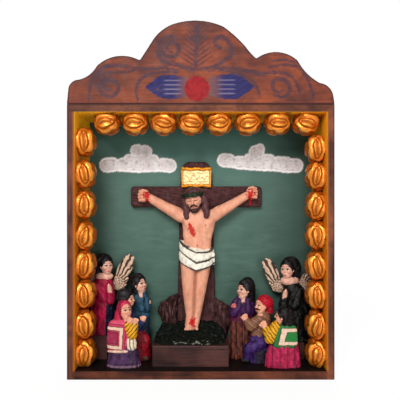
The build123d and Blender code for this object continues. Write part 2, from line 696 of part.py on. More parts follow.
def model():
    """Every piece by its node name."""
    nailed = board_nails()
    pinned = panel_nails()
    pieces = {
        "side_board_left": side_board(-1), "side_board_right": side_board(1),
        "top_board": top_board(), "bottom_board": bottom_board(),
        "back_panel": back_panel(), "crest_board": crest_board(),
    }
    for name in list(pieces):
        pieces[name] = pieces[name] - nailed - pinned
    pieces["board_nails"] = Compound(children=nailed)
    pieces["back_panel_nails"] = Compound(children=pinned)
    pieces["plinth"] = plinth()
    upright = cross_upright()
    beam = cross_beam() - upright
    left_rock = rock(left_rock_shares, -1, left_rock_share) - upright
    right_rock = rock(right_rock_shares, 1, right_rock_share) - upright
    pieces["cross_upright"] = upright
    pieces["cross_beam"] = beam
    pieces["title_scroll"] = title_scroll()
    pieces["rock_left"] = left_rock
    pieces["rock_right"] = right_rock
    pieces.update(crucified())
    mound = grass_mound() - upright - left_rock - right_rock - pieces["crucified_body"]
    pieces["grass_mound"] = mound.solids().sort_by(SortBy.VOLUME)[-1]
    pieces.update(angel(
        "angel_left", angel_spot(-1, left_angel_place_shares), left_angel_robe_shares, left_angel_limb_shares,
        left_angel_head_shares, (left_angel_near_wing_shares, left_angel_far_wing_shares),
        left_pedestal_shares, left_pedestal_height,
    ))
    pieces.update(angel(
        "angel_right", angel_spot(1, right_angel_place_shares), right_angel_robe_shares, right_angel_limb_shares,
        right_angel_head_shares, (right_angel_near_wing_shares, right_angel_far_wing_shares),
        right_pedestal_shares, right_pedestal_height,
    ))
    pieces.update(villagers())
    pieces.update(roses())
    return pieces


os.makedirs("parts", exist_ok=True)
for node, piece in model().items():
    export_step(piece, f"parts/{node}.step")
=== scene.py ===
from math import cos, pi, radians, sin

import bmesh
import bpy
import numpy as np
from mathutils import Matrix, Vector
from mathutils.bvhtree import BVHTree


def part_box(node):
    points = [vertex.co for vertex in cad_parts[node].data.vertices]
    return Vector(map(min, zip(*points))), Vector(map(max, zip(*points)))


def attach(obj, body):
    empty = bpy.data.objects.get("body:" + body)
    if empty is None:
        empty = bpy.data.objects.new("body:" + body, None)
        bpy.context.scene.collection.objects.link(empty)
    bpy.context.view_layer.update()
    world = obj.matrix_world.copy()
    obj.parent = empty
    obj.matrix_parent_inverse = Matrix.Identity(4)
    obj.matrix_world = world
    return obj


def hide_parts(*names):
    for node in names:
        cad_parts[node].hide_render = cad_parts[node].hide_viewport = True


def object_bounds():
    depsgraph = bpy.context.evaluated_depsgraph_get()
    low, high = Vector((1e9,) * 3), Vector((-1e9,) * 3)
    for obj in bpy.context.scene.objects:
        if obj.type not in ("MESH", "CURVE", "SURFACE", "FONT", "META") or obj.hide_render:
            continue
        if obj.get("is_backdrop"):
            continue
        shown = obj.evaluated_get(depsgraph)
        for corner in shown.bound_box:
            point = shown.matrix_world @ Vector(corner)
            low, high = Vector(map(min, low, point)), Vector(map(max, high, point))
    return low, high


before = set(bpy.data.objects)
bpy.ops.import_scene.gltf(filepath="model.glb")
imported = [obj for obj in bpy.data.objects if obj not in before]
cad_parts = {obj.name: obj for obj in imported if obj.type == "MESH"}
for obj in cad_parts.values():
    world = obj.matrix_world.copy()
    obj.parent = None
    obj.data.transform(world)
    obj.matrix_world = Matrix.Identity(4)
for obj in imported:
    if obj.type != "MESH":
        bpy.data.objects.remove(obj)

# Retablo box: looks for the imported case, its roses, its cross and its figures.
# Lengths in the tables are millimetres: X to the right, Y from the open front to
# the back, Z up. The tables of a figure start from the spot where it stands.

cad_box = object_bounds()
MM = 0.001


def box_of(node):
    """The low and the high corner of a node's box, in millimetres."""
    return [np.array(corner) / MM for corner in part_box(node)]


def middle_of(node):
    """The middle of a node's box, in millimetres."""
    low, high = np.array(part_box(node))
    return (low + high) / 2 / MM


# Planes of the case
FRONT = box_of("crest_board")[0][1]
PANEL = box_of("back_panel")[0][1]
WALL, _, FLOOR = box_of("bottom_board")[1]
SIDE = box_of("side_board_right")[1][0]
CEILING, CASE_TOP = (corner[2] for corner in box_of("top_board"))

# Grid of the remeshed pieces: plain ones and ones with fine detail
COARSE = 0.42
FINE = 0.36


def ink(red, green, blue):
    """A colour written in 0 to 255 screen values, as linear values."""
    values = np.array([red, green, blue]) / 255
    return np.where(values <= 0.04045, values / 12.92, ((values + 0.055) / 1.055) ** 2.4)


SKIN = ink(226, 160, 130)
PALE_SKIN = ink(222, 168, 146)
BLUSH = ink(205, 95, 85)
BLOOD = ink(186, 8, 12)
BLACK = ink(12, 9, 10)
HAIR = ink(12, 9, 11)
BROWN_HAIR = ink(82, 50, 52)
CREAM = ink(226, 208, 180)
WHITE = ink(238, 230, 212)
YELLOW = ink(222, 158, 25)
MAROON = ink(88, 14, 42)


# Materials

class Nodes:
    """A shader tree with short calls for its nodes."""

    def __init__(self, tree):
        self.tree = tree

    def feed(self, node, inputs):
        """Values, or the outputs of other nodes, for a node's inputs."""
        for key, value in inputs.items():
            if isinstance(value, bpy.types.NodeSocket):
                self.tree.links.new(value, node.inputs[key])
            else:
                node.inputs[key].default_value = value

    def node(self, kind, inputs={}, **settings):
        """A new node's outputs."""
        made = self.tree.nodes.new("ShaderNode" + kind)
        for key, value in settings.items():
            setattr(made, key, value)
        self.feed(made, inputs)
        return made.outputs

    def math(self, kind, *values):
        return self.node("Math", dict(enumerate(values)), operation=kind)[0]

    def times(self, first, *others):
        for other in others:
            first = self.math("MULTIPLY", first, other)
        return first

    def ramp(self, value, low, high, to_low=0.0, to_high=1.0):
        return self.node("MapRange", dict(enumerate((value, low, high, to_low, to_high))))[0]


class Paint(Nodes):
    """A material of one surface shader."""

    # Sockets of a colour mix
    SHARE, FIRST, SECOND, RESULT = 0, 6, 7, 2

    def __init__(self, name, roughness, metallic=0.0, gloss=0.2):
        self.material = bpy.data.materials.new(name)
        self.material.use_nodes = True
        super().__init__(self.material.node_tree)
        self.surface = self.tree.nodes["Principled BSDF"]
        self.feed(self.surface, {"Roughness": roughness, "Metallic": metallic, "Specular IOR Level": gloss})

    def place(self, stretch):
        """The place in metres, times one stretch or one for each axis."""
        where = self.node("TexCoord")["Object"]
        scale = [float(value) for value in np.broadcast_to(stretch, 3)]
        return self.node("Mapping", {"Vector": where, "Scale": scale})[0]

    def axes(self):
        """X, Y and Z in millimetres."""
        return self.node("SeparateXYZ", {0: self.place(1 / MM)})

    def noise(self, stretch, detail=5.0, distortion=0.0):
        where = self.place(stretch)
        inputs = {"Vector": where, "Scale": 1, "Detail": detail, "Distortion": distortion}
        return self.node("TexNoise", inputs)["Fac"]

    def laid(self, colour, *coats):
        """A colour with others laid over it, each after its share."""
        for share, over in coats:
            pair = [c if isinstance(c, bpy.types.NodeSocket) else (*c, 1.0) for c in (colour, over)]
            inputs = {self.SHARE: share, self.FIRST: pair[0], self.SECOND: pair[1]}
            colour = self.node("Mix", inputs, data_type="RGBA")[self.RESULT]
        return colour

    def cover(self):
        return self.node("Attribute", attribute_name="cover")["Fac"]

    def coat(self):
        return self.node("Attribute", attribute_name="paint")["Color"]

    def finish(self, colour, grain=None, roughness=None):
        """The material, with its grain as height, strength and distance."""
        self.feed(self.surface, {"Base Color": colour})
        if grain:
            height, strength, distance = grain
            inputs = {"Height": height, "Strength": strength, "Distance": distance * MM}
            self.feed(self.surface, {"Normal": self.node("Bump", inputs)[0]})
        if roughness:
            self.feed(self.surface, {"Roughness": roughness})
        return self.material


def streaks(paint, along, dark, middle, light, long=14, cross=190):
    """Wood colour in streaks that run along one axis, and the grain's height."""
    broad = paint.noise([long if axis == along else cross for axis in "XYZ"], 6, 0.6)
    fine = paint.noise([56 if axis == along else 760 for axis in "XYZ"], 4)
    colour = paint.laid(
        dark, (paint.ramp(broad, 0.36, 0.62), middle),
        (paint.ramp(paint.noise(26, 3), 0.42, 0.72), light), (paint.ramp(fine, 0.56, 0.75, 0, 0.75), dark),
    )
    return colour, paint.math("ADD", broad, fine)


def board_material(name, along, tones, inside, inside_dark, long=14, cross=190):
    """Stained wood, painted where a board faces the niche."""
    paint = Paint(name, 0.55, 0.0, 0.14)
    wood, grain = streaks(paint, along, *tones, long, cross)
    dark = tones[0]
    x, y, z = paint.axes()
    aside = paint.math("ABSOLUTE", x)
    scuffs = paint.noise(150)
    swirls = paint.ramp(paint.noise(62, 4, 1.2), 0.42, 0.7, 0, 0.65)
    # Painted shade: the wood darker towards the left, high on the case.
    painted_shade = paint.times(paint.ramp(x, 20, -100, 0, 0.42), paint.ramp(z, 130, 200))
    shown = paint.times(paint.cover(), paint.ramp(scuffs, 0.2, 0.38))
    level = paint.times(
        paint.math("GREATER_THAN", z, FLOOR - 0.05), paint.math("LESS_THAN", z, CEILING + 0.1)
    )
    inner = paint.times(
        level, paint.math("LESS_THAN", aside, WALL + 0.15), paint.math("LESS_THAN", y, PANEL + 0.05)
    )
    strokes = paint.ramp(paint.noise([120, 60, 60], 6, 0.8), 0.45, 0.75, 0, 0.5)
    # Painted light: the yellow walls brighter high in the upper left corner of the niche.
    painted_corner_light = paint.times(paint.ramp(z, 198, 212), paint.ramp(x, -70, -85))
    wall = paint.laid(
        inside, (strokes, inside_dark), (paint.ramp(z, 170, 205, 0.6, 0), inside_dark),
        (painted_corner_light, ink(255, 200, 36)),
    )
    # Painted shade along the outer edges of the front (rim); the seam is the dark joint under the crest.
    edge = paint.ramp(aside, SIDE - 2.4, SIDE, 0, 0.7)
    rim = paint.times(edge, paint.ramp(y, FRONT + 1, FRONT + 4, 1, 0.2))
    away = paint.math("ABSOLUTE", paint.math("SUBTRACT", z, CASE_TOP))
    seam = paint.ramp(away, 0.3, 1.5, 0.85, 0)
    lip = paint.times(paint.ramp(aside, WALL + 0.3, WALL + 2.2, 0.55, 0), level)
    wood = paint.laid(
        wood, (swirls, dark), (painted_shade, dark), (shown, paint.coat()), (paint.math("MAXIMUM", rim, seam), dark),
        (lip, ink(176, 104, 44)), (inner, wall),
    )
    return paint.finish(wood, (grain, 0.5, 0.35), paint.ramp(scuffs, 0.2, 0.8, 0.42, 0.68))


def panel_material():
    """The back panel: teal sky in level strokes in front, with painted shade, bare wood behind."""
    paint = Paint("teal_panel", 0.5, 0.0, 0.14)
    wood, grain = streaks(paint, "X", ink(96, 66, 44), ink(150, 112, 78), ink(178, 142, 104))
    x, y, z = paint.axes()
    aside = paint.math("ABSOLUTE", x)
    strokes = paint.noise([40, 60, 150], 6, 1.2)
    mottle = paint.noise(38, 4)
    # Painted shade: the teal darker low down, just under the top roses, towards both sides, more on the
    # right, and in the low corners.
    level = paint.math("ADD", paint.ramp(z, 20, 200), paint.ramp(mottle, 0.3, 0.7, -0.25, 0.25))
    corner = paint.times(paint.ramp(aside, 50, 100), paint.ramp(z, 100, 40), 0.5)
    sky = paint.laid(
        ink(51, 77, 68), (paint.ramp(level, -0.2, 1.0), ink(84, 112, 100)),
        (paint.ramp(strokes, 0.45, 0.75, 0, 0.3), ink(100, 128, 116)),
        (paint.ramp(z, 160, 210, 0, 0.7), ink(56, 102, 94)),
        (paint.ramp(aside, 40, 100, 0, 0.35), ink(50, 72, 64)),
        (paint.ramp(x, 30, 90, 0, 0.45), ink(44, 66, 58)), (corner, ink(26, 34, 32)),
        (paint.cover(), paint.coat()),
    )
    colour = paint.laid(wood, (paint.math("LESS_THAN", y, PANEL + 0.05), sky))
    height = paint.math("ADD", strokes, grain)
    return paint.finish(colour, (height, 0.3, 0.25), paint.ramp(mottle, 0.2, 0.8, 0.4, 0.62))


def plinth_material():
    """Painted timber with brushed streaks."""
    paint = Paint("plinth_wood", 0.5)
    wood, grain = streaks(paint, "X", ink(18, 8, 8), ink(54, 28, 25), ink(90, 52, 46), 16, 330)
    return paint.finish(wood, (grain, 0.5, 0.4))


def paste_material(name, roughness=0.42, metallic=0.0, grain=0.5, gloss=0.13):
    """Painted paste: the coat's own colours with brush marks and small pits."""
    paint = Paint(name, roughness, metallic, gloss)
    brush = paint.noise([420, 420, 190], 4, 0.5)
    height = paint.math("ADD", brush, paint.noise(900, 3))
    colour = paint.laid(
        paint.coat(), (paint.ramp(brush, 0.35, 0.7, 0, 0.2), (0.02, 0.012, 0.012)),
        (paint.ramp(brush, 0.55, 0.8, 0, 0.05), (0.9, 0.85, 0.8)),
    )
    shine = paint.ramp(brush, 0.2, 0.8, roughness - 0.08, roughness + 0.16)
    return paint.finish(colour, (height, grain, 0.16), shine)


def gilt_material():
    """Golden copper paint on the roses."""
    paint = Paint("rose_gold", 0.3, 0.6, 0.4)
    brush = paint.noise(240, 5, 0.7)
    colour = paint.laid(paint.coat(), (paint.ramp(brush, 0.4, 0.75, 0, 0.3), ink(140, 60, 10)))
    return paint.finish(colour, (brush, 0.25, 0.2), paint.ramp(brush, 0.2, 0.8, 0.22, 0.4))


def iron_material():
    """Dark worn iron for the nail heads."""
    paint = Paint("iron", 0.5, 0.85)
    rust = paint.noise(400)
    colour = paint.laid(ink(58, 54, 52), (paint.ramp(rust, 0.4, 0.7), ink(96, 62, 42)))
    return paint.finish(colour, (rust, 0.5, 0.2))


# Values at the points of a mesh

def smoothed(points, edges, rounds):
    """Points drawn towards the middle of their neighbours."""
    count = len(points)
    ends = np.concatenate([edges[:, 0], edges[:, 1]])
    others = np.concatenate([edges[:, 1], edges[:, 0]])
    degree = np.maximum(np.bincount(ends, minlength=count), 1)[:, None]
    for _ in range(rounds):
        total = np.stack([np.bincount(ends, points[others, i], count) for i in range(3)], 1)
        points = (points + total / degree) / 2
    return points


def ripple(points, pitch, seed):
    """A smooth random value from -1 to 1 at each point, with bumps about a pitch wide."""
    random = np.random.default_rng(seed)
    total = np.zeros(len(points))
    for _ in range(9):
        direction = random.normal(size=3)
        direction *= 2 * pi / (pitch * np.linalg.norm(direction))
        total += np.sin(points @ (direction * random.uniform(0.6, 1.5)) + random.uniform(0, 2 * pi))
    return total / 3


def varied(colour, points, change, pitch, seed):
    """A colour that is lighter and darker from place to place."""
    return colour * (1 + change * ripple(points, pitch, seed))[:, None]


def laid(colours, *coats):
    """Colours with others laid over them, each after its share."""
    for share, over in coats:
        share = np.clip(share, 0, 1)[:, None]
        colours = colours * (1 - share) + over * share
    return colours


def step(value, low, high):
    """A soft step from 0 at low to 1 at high."""
    t = np.clip((value - low) / (high - low), 0, 1)
    return t * t * (3 - 2 * t)


def spot(across, up, wide, tall, soft=0.0):
    """1 inside an oval round 0, with a soft rim where asked."""
    within = 1 - np.hypot(across / wide, up / tall)
    return step(within, 0, soft) if soft else within > 0


# Meshes and pieces

def linked(name, data):
    """A new object in the scene."""
    made = bpy.data.objects.new(name, data)
    bpy.context.scene.collection.objects.link(made)
    return made


def rows_of(items, key, width, kind=np.float32):
    """One value of each item of a mesh, a row each."""
    values = np.empty(len(items) * width, kind)
    items.foreach_get(key, values)
    return values.reshape(-1, width)


def points_of(mesh):
    """The points of a mesh in millimetres."""
    return rows_of(mesh.vertices, "co", 3).astype(float) / MM


def put_colours(mesh, colours, cover=None):
    """The coat's colours, and how much of the board it covers."""
    layer = mesh.color_attributes.new("paint", "FLOAT_COLOR", "POINT")
    rows = np.ones((len(mesh.vertices), 4), np.float32)
    rows[:, :3] = np.clip(colours, 0, 1)
    layer.data.foreach_set("color", rows.ravel())
    if cover is not None:
        mask = mesh.attributes.new("cover", "FLOAT", "POINT")
        mask.data.foreach_set("value", cover.astype(np.float32))


def put_piece(mesh, material, slot, nodes=(), smooth=True):
    """A piece that rides on the box and stands for its nodes."""
    mesh.materials.clear()
    mesh.materials.append(material)
    mesh.polygons.foreach_set("use_smooth", [smooth] * len(mesh.polygons))
    piece = linked(mesh.name, mesh)
    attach(piece, "root")
    if nodes:
        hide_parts(*nodes)


class Form:
    """An even mesh of closed lumps that run together, with its points in millimetres."""

    def __init__(self, name, verts, faces, voxel):
        rough = bpy.data.meshes.new(name + ".rough")
        rough.from_pydata([tuple(v * MM) for v in verts], [], faces)
        holder = linked(name + ".rough", rough)
        modifier = holder.modifiers.new("grid", "REMESH")
        modifier.mode = "VOXEL"
        modifier.voxel_size = voxel * MM
        graph = bpy.context.evaluated_depsgraph_get()
        self.mesh = bpy.data.meshes.new_from_object(holder.evaluated_get(graph))
        bpy.data.objects.remove(holder)
        self.mesh.name = name
        self.edges = rows_of(self.mesh.edges, "vertices", 2, np.int32)
        self.points = points_of(self.mesh)

    def move(self, points):
        self.points = points
        self.mesh.vertices.foreach_set("co", (points * MM).astype(np.float32).ravel())
        self.mesh.update()

    def smooth(self, rounds):
        self.move(smoothed(self.points, self.edges, rounds))

    def normals(self):
        return rows_of(self.mesh.vertex_normals, "vector", 3).astype(float)

    def swell(self, height):
        """Each point moved out by its height."""
        self.move(self.points + self.normals() * height[:, None])

    def hollow(self):
        """How deep each point lies among its neighbours."""
        return ((smoothed(self.points, self.edges, 8) - self.points) * self.normals()).sum(1)

    def shaded(self, colours, depth=0.28):
        """Painted shade and dark paint left in the hollows, and the ridges painted a little lighter, as
        rubbed wear and painted highlight.
        """
        hollow = self.hollow()
        colours = laid(colours, (0.75 * step(hollow, 0.02, depth), colours * 0.12))
        return laid(colours, (0.16 * step(-hollow, 0.05, depth * 1.5), np.minimum(colours * 1.5 + 0.02, 1)))


def node_form(name, nodes, voxel, rounds):
    """CAD nodes as one soft-edged form."""
    verts, faces = [], []
    for node in nodes:
        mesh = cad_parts[node].data
        faces += [tuple(len(verts) + i for i in face.vertices) for face in mesh.polygons]
        verts += list(points_of(mesh))
    form = Form(name, verts, faces, voxel)
    form.smooth(rounds)
    return form


# Lumps of paste

def turned(angle):
    """A turn round the level axis that points at the viewer, in degrees."""
    return np.array(Matrix.Rotation(radians(angle), 3, "Y"))


class Clay:
    """Closed lumps in a figure's own millimetres, each with the coat that it gets."""

    def __init__(self, spot):
        self.spot = np.array(spot, float)
        self.verts, self.faces, self.owners, self.coats = [], [], [], []

    def stack(self, rings, coat):
        """A closed skin over rings of points of equal number."""
        if coat not in self.coats:
            self.coats.append(coat)
        rings = np.array(rings, float)
        rows = len(self.verts) + np.arange(rings.shape[0] * rings.shape[1]).reshape(rings.shape[:2])
        low, high = rows[:-1], rows[1:]
        quads = np.stack([low, np.roll(low, -1, 1), np.roll(high, -1, 1), high], 2).reshape(-1, 4)
        faces = [tuple(f) for f in quads.tolist() + [rows[0][::-1].tolist(), rows[-1].tolist()]]
        self.verts += list(rings.reshape(-1, 3))
        self.faces += faces
        self.owners += [self.coats.index(coat)] * len(faces)

    def egg(self, centre, half, coat, turn=None, power=1.0):
        """An egg, or a rounded block where power is well under 1."""
        turn = np.eye(3) if turn is None else turn
        slope = pi * (np.arange(1, 14)[:, None] / 14 - 0.5)
        a = 2 * pi * np.arange(24) / 24
        local = np.stack([np.cos(slope) * np.cos(a), np.cos(slope) * np.sin(a), np.sin(slope) + 0 * a], 2)
        self.stack(np.array(centre) + np.sign(local) * abs(local) ** power * half @ turn.T, coat)

    def limb(self, start, end, start_radius, end_radius, coat):
        """A limb with a rounded end of its own radius at each place."""
        start, end = np.array(start, float), np.array(end, float)
        along = (end - start) / np.linalg.norm(end - start)
        side = np.cross(along, (0, 1, 0) if abs(along[1]) < 0.9 else (1, 0, 0))
        side /= np.linalg.norm(side)
        a = np.linspace(0, 2 * pi, 17)[:-1, None]
        circle = side * np.cos(a) + np.cross(along, side) * np.sin(a)
        rings = []
        for middle, radius, slopes in (
            (start, start_radius, (-75, -50, -25, 0)), (end, end_radius, (0, 25, 50, 75)),
        ):
            for slope in np.radians(slopes):
                rings.append(middle + along * radius * sin(slope) + radius * cos(slope) * circle)
        self.stack(rings, coat)

    def chain(self, places, radii, coat):
        """Limbs from place to place, with two radii for each."""
        for start, end, first, last in zip(places, places[1:], radii[::2], radii[1::2]):
            self.limb(start, end, first, last, coat)

    def robe(self, table, coat, folds=0, depth=0.0, fade=None):
        """Level rings as height, across, half width, half depth and maybe forward, with folds."""
        heights, *columns = np.array(table, float).T
        low, high = heights[0], heights[-1]
        a = np.linspace(0, 2 * pi, 73)[:-1]
        rings = []
        for z in np.unique(np.append(np.arange(low, high, 1.0), high)):
            x, half_x, half_y, y = [*(np.interp(z, heights, column) for column in columns), 0][:4]
            strength = 1.0 if fade is None else np.clip((fade - z) / (fade - low), 0, 1)
            wave = 1 + strength * depth * (abs(np.cos(folds * a / 2)) - 0.6)
            ring = [x + half_x * wave * np.cos(a), y + half_y * wave * np.sin(a), z + 0 * a]
            rings.append(np.stack(ring, 1))
        self.stack(rings, coat)

    def hand(self, place, towards, size, coat):
        """A small hand: palm, four fingers side by side and a thumb."""
        place, towards = np.array(place, float), np.array(towards, float)
        towards /= np.linalg.norm(towards)
        side = np.cross(towards, (0, 1, 0))
        side /= np.linalg.norm(side)
        self.limb(place - towards * size * 0.5, place, size * 0.5, size * 0.56, coat)
        for i in range(4):
            root = place + side * size * (i - 1.5) * 0.3
            tip = root + towards * size * (0.95 - 0.1 * abs(i - 1.3))
            self.limb(root, tip, size * 0.19, size * 0.15, coat)
        thumb = place + side * size * 0.5
        self.limb(thumb, thumb + (towards * 0.5 + side * 0.35) * size, size * 0.2, size * 0.15, coat)

    def finish(self, name, material, nodes, slot="figure_paste", voxel=COARSE, seed=1, relax=3, rough=0.12):
        """The lumps as one painted piece that stands for its nodes."""
        verts = np.array(self.verts) + self.spot
        form = Form(name, verts, self.faces, voxel)
        normals = form.normals()
        form.smooth(relax)
        tree = BVHTree.FromPolygons([tuple(v) for v in verts], self.faces)
        owner = np.array([self.owners[tree.find_nearest(Vector(p))[2]] for p in form.points])
        local = form.points - self.spot
        form.move(form.points + normals * (rough * ripple(form.points, 3.1, seed))[:, None])
        colours = np.zeros(local.shape)
        for i, coat in enumerate(self.coats):
            mine = owner == i
            if mine.any():
                colours[mine] = coat(local[mine])
        # Painted shade in the hollows and lighter ridges over the coats.
        put_colours(form.mesh, form.shaded(colours))
        put_piece(form.mesh, material, slot, nodes)


# Coats of paint: each gives one colour for each point of a figure

def plain(colour, seed=3, change=0.14):
    """One colour that varies a little, as brushed paint does."""
    return lambda p: varied(colour, p * (1, 1, 0.4), change, 4.0, seed)


def locks(colour, seed=9):
    """Hair in strands."""
    def coat(p):
        strand = np.sin(2.6 * (p[:, 0] + 0.35 * p[:, 2]) + 2 * ripple(p, 6.0, seed))
        return colour * (1 + 0.3 * strand)[:, None]
    return coat


def banded(direction, pitch, colours, start=0.0):
    """Stripes across a direction."""
    direction = np.array(direction, float) / np.linalg.norm(direction)
    table = np.array(colours)

    def coat(p):
        place = (p @ direction - start + 0.25 * ripple(p, 4.0, 5)) / pitch % 1 * len(table)
        band = place.astype(int) % len(table)
        return laid(table[band], (step(place - band, 0.75, 1), table[(band + 1) % len(table)]))
    return coat


def squares(centre, across, up, half_across, half_up, edges, colours):
    """Square bands round a centre, from the middle outwards."""
    def coat(p):
        q = p - centre
        reach = np.maximum(abs(q @ across) / half_across, abs(q @ up) / half_up)
        reach = reach + 0.012 * ripple(p, 5.0, 7)
        bands = [(step(reach - edge, -0.02, 0.02), over) for edge, over in zip(edges, colours[1:])]
        return laid(colours[0], *bands)
    return coat


def trimmed(base, rule, over):
    """A coat with another laid over it where a rule holds."""
    def coat(p):
        colours = base(p)
        here = rule(p)
        if here.any():
            colours[here] = over(p[here])
        return colours
    return coat


# Heads

class Head:
    """A doll's head with axes of its own: side, forward and up."""

    def __init__(self, clay, centre, half, facing, nod=0.0, tilt=0.0):
        yaw, nod, tilt = np.radians([facing, nod, tilt])
        forward = np.array([sin(yaw), -cos(yaw), 0.0])
        side = np.array([cos(yaw), sin(yaw), 0.0])
        up = np.array([0.0, 0.0, 1.0])
        forward, up = forward * cos(nod) + up * sin(nod), up * cos(nod) - forward * sin(nod)
        side, up = side * cos(tilt) + up * sin(tilt), up * cos(tilt) - side * sin(tilt)
        self.clay = clay
        self.centre = np.array(centre, float)
        self.half = np.array(half, float)
        self.axes = np.stack([side, forward, up], 1)

    def at(self, side, forward, up):
        return self.centre + self.axes @ (self.half * (side, forward, up))

    def shares(self, p):
        return (((p - self.centre) @ self.axes) / self.half).T

    def egg(self, centre, half, coat):
        self.clay.egg(self.at(*centre), self.half * half, coat, self.axes)

    def limb(self, start, end, start_radius, end_radius, coat):
        scale = self.half[0]
        self.clay.limb(self.at(*start), self.at(*end), start_radius * scale, end_radius * scale, coat)

    def face(self, skin):
        """Skull, jaw, nose and lips, with painted eyes and brows."""
        def coat(p):
            side, forward, up = self.shares(p)
            colours = varied(skin, p, 0.08, 4.0, 11)
            front = step(forward, 0.15, 0.4)
            for x in (-0.42, 0.42):
                blush = spot(side - x * 1.05, up + 0.3, 0.3, 0.22, 1)
                colours = laid(colours, (0.45 * blush * front, BLUSH))
            for x in (-0.36, 0.36):
                away = side - x
                lid = step(0.075 - abs(up - 0.12 + 0.5 * away ** 2), 0, 0.03) * (abs(away) < 0.24)
                brow = step(0.05 - abs(up - 0.36 + 0.8 * away ** 2), 0, 0.03) * (abs(away) < 0.27)
                white = spot(away, up - 0.04, 0.2, 0.1)
                pupil = spot(away, up - 0.05, 0.11, 0.11)
                colours = laid(
                    colours, (0.7 * white * front, WHITE * (1, 0.9, 0.78)), (0.95 * pupil * front, BLACK),
                    (0.8 * lid * front, BLACK), (0.85 * brow * front, BLACK),
                )
            return laid(colours, (0.9 * spot(side, up + 0.52, 0.26, 0.1, 0.4) * front, BLUSH * 0.8))
        self.egg((0, -0.02, 0.1), (0.9, 0.92, 0.88), coat)
        self.egg((0, 0.16, -0.42), (0.62, 0.66, 0.5), coat)
        self.limb((0, 0.84, 0.16), (0, 1.0, -0.14), 0.09, 0.16, coat)
        self.egg((0, 0.78, -0.5), (0.26, 0.12, 0.1), coat)
        for side in (-1, 1):
            self.egg((side * 0.4, 0.62, -0.2), (0.26, 0.24, 0.22), coat)
            self.egg((side * 0.9, -0.05, -0.02), (0.1, 0.17, 0.22), coat)
        self.limb((0, -0.12, -0.5), (0, -0.16, -1.25), 0.42, 0.46, coat)

    def hair(self, coat, length, fringe=0.0):
        """A cap of hair that falls behind the ears."""
        self.egg((0, -0.24, 0.3 + fringe), (1.1, 1.04, 0.94), coat)
        for side in (-0.62, 0, 0.62):
            start = (side, -0.72 + 0.35 * abs(side), 0.1)
            end = (side * 0.95, -0.72 + 0.3 * abs(side), -length)
            self.limb(start, end, 0.52, 0.3, coat)


# Camera, light, floor

def stage():
    """Camera at the photograph's view, plain soft lamps and a white floor."""
    camera = bpy.data.cameras.new("camera")
    camera.lens = 45.3
    camera.sensor_width = 36
    camera.clip_start = 0.01
    holder = linked("camera", camera)
    holder.location = (-0.0006, -0.452, 0.15)
    holder.rotation_euler = (pi / 2, 0, 0)
    bpy.context.scene.camera = holder

    for name, place, size, power in (
        ("key", (-0.16, -0.9, 0.62), 0.35, 9.0),
        ("fill", (0.34, -0.92, 0.02), 0.4, 3.8),
        ("back", (0.1, 0.9, 0.9), 0.8, 5.0),
    ):
        lamp = bpy.data.lights.new(name, "AREA")
        lamp.size = size
        lamp.energy = power
        light = linked(name, lamp)
        light.location = place
        aim = Vector((0, 0, 0.13)) - Vector(place)
        light.rotation_euler = aim.to_track_quat("-Z", "Y").to_euler()

    world = bpy.data.worlds.new("world")
    bpy.context.scene.world = world
    world.use_nodes = True
    sky = Nodes(world.node_tree)
    plain_sky, white_sky = (
        sky.node("Background", {"Color": (1, 1, 1, 1), "Strength": strength})[0] for strength in (0.22, 1.0)
    )
    path = sky.node("LightPath")
    seen = sky.math("MAXIMUM", path["Is Camera Ray"], path["Is Glossy Ray"])
    mixed = sky.node("MixShader", {0: seen, 1: plain_sky, 2: white_sky})[0]
    sky.feed(sky.tree.nodes["World Output"], {"Surface": mixed})

    ground = bpy.data.meshes.new("ground")
    reach = 6.0
    corners = [(-reach, -reach, 0), (reach, -reach, 0), (reach, reach, 0), (-reach, reach, 0)]
    ground.from_pydata(corners, [], [(0, 1, 2, 3)])
    floor = Paint("white_floor", 0.9)
    floor.finish(floor.laid((0.8, 0.8, 0.8), (floor.noise(3, 2), (0.83, 0.83, 0.83))))
    glow = floor.node("Emission", {"Strength": floor.ramp(floor.axes()[1], 200, 1500, 1.06, 1.12)})[0]
    share = floor.times(floor.node("LightPath")["Is Camera Ray"], 0.86)
    mixed = floor.node("MixShader", {0: share, 1: floor.surface.outputs[0], 2: glow})[0]
    floor.feed(floor.tree.nodes["Material Output"], {"Surface": mixed})
    ground.materials.append(floor.material)
    linked("ground", ground)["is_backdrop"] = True

    bpy.context.scene.view_settings.view_transform = "Standard"


# Boards of the case

def dress(material, *nodes):
    """CAD nodes keep their shape and get a material."""
    for node in nodes:
        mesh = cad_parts[node].data
        mesh.materials.clear()
        mesh.materials.append(material)


def dress_boards():
    """Looks for the boards and nails; the crest's wood and the sky also serve painted forms."""
    yellow, ochre = ink(246, 172, 24), ink(196, 104, 10)
    frame_tones = ink(54, 28, 23), ink(106, 58, 40), ink(142, 80, 52)
    crest_tones = ink(74, 38, 32), ink(118, 56, 38), ink(154, 74, 40)
    ground_tones = ink(42, 20, 14), ink(90, 46, 34), ink(116, 62, 42)
    dress(board_material("side_wood", "Z", frame_tones, yellow, ochre), "side_board_left", "side_board_right")
    dress(board_material("top_wood", "X", frame_tones, yellow, ochre), "top_board")
    dress(board_material("bottom_wood", "X", ground_tones, ink(22, 11, 8), ink(9, 5, 4)), "bottom_board")
    crest_wood = board_material("crest_wood", "X", crest_tones, yellow, ochre, 24, 130)
    sky = panel_material()
    dress(sky, "back_panel")
    dress(iron_material(), "board_nails", "back_panel_nails")
    dress(plinth_material(), "plinth", "angel_left_pedestal", "angel_right_pedestal")
    return crest_wood, sky


# Paint on the crest and the clouds

def curve_through(places, count=14):
    """Points along a smooth line through places."""
    places = np.array(places, float)
    ends = np.vstack([2 * places[0] - places[1], places, 2 * places[-1] - places[-2]])
    line = []
    for a, b, c, d in zip(ends, ends[1:], ends[2:], ends[3:]):
        for t in np.arange(count) / count:
            line.append(0.5 * (2 * b + (c - a) * t + (2 * a - 5 * b + 4 * c - d) * t ** 2
                               + (3 * b - a - 3 * c + d) * t ** 3))
    return np.array([*line, places[-1]])


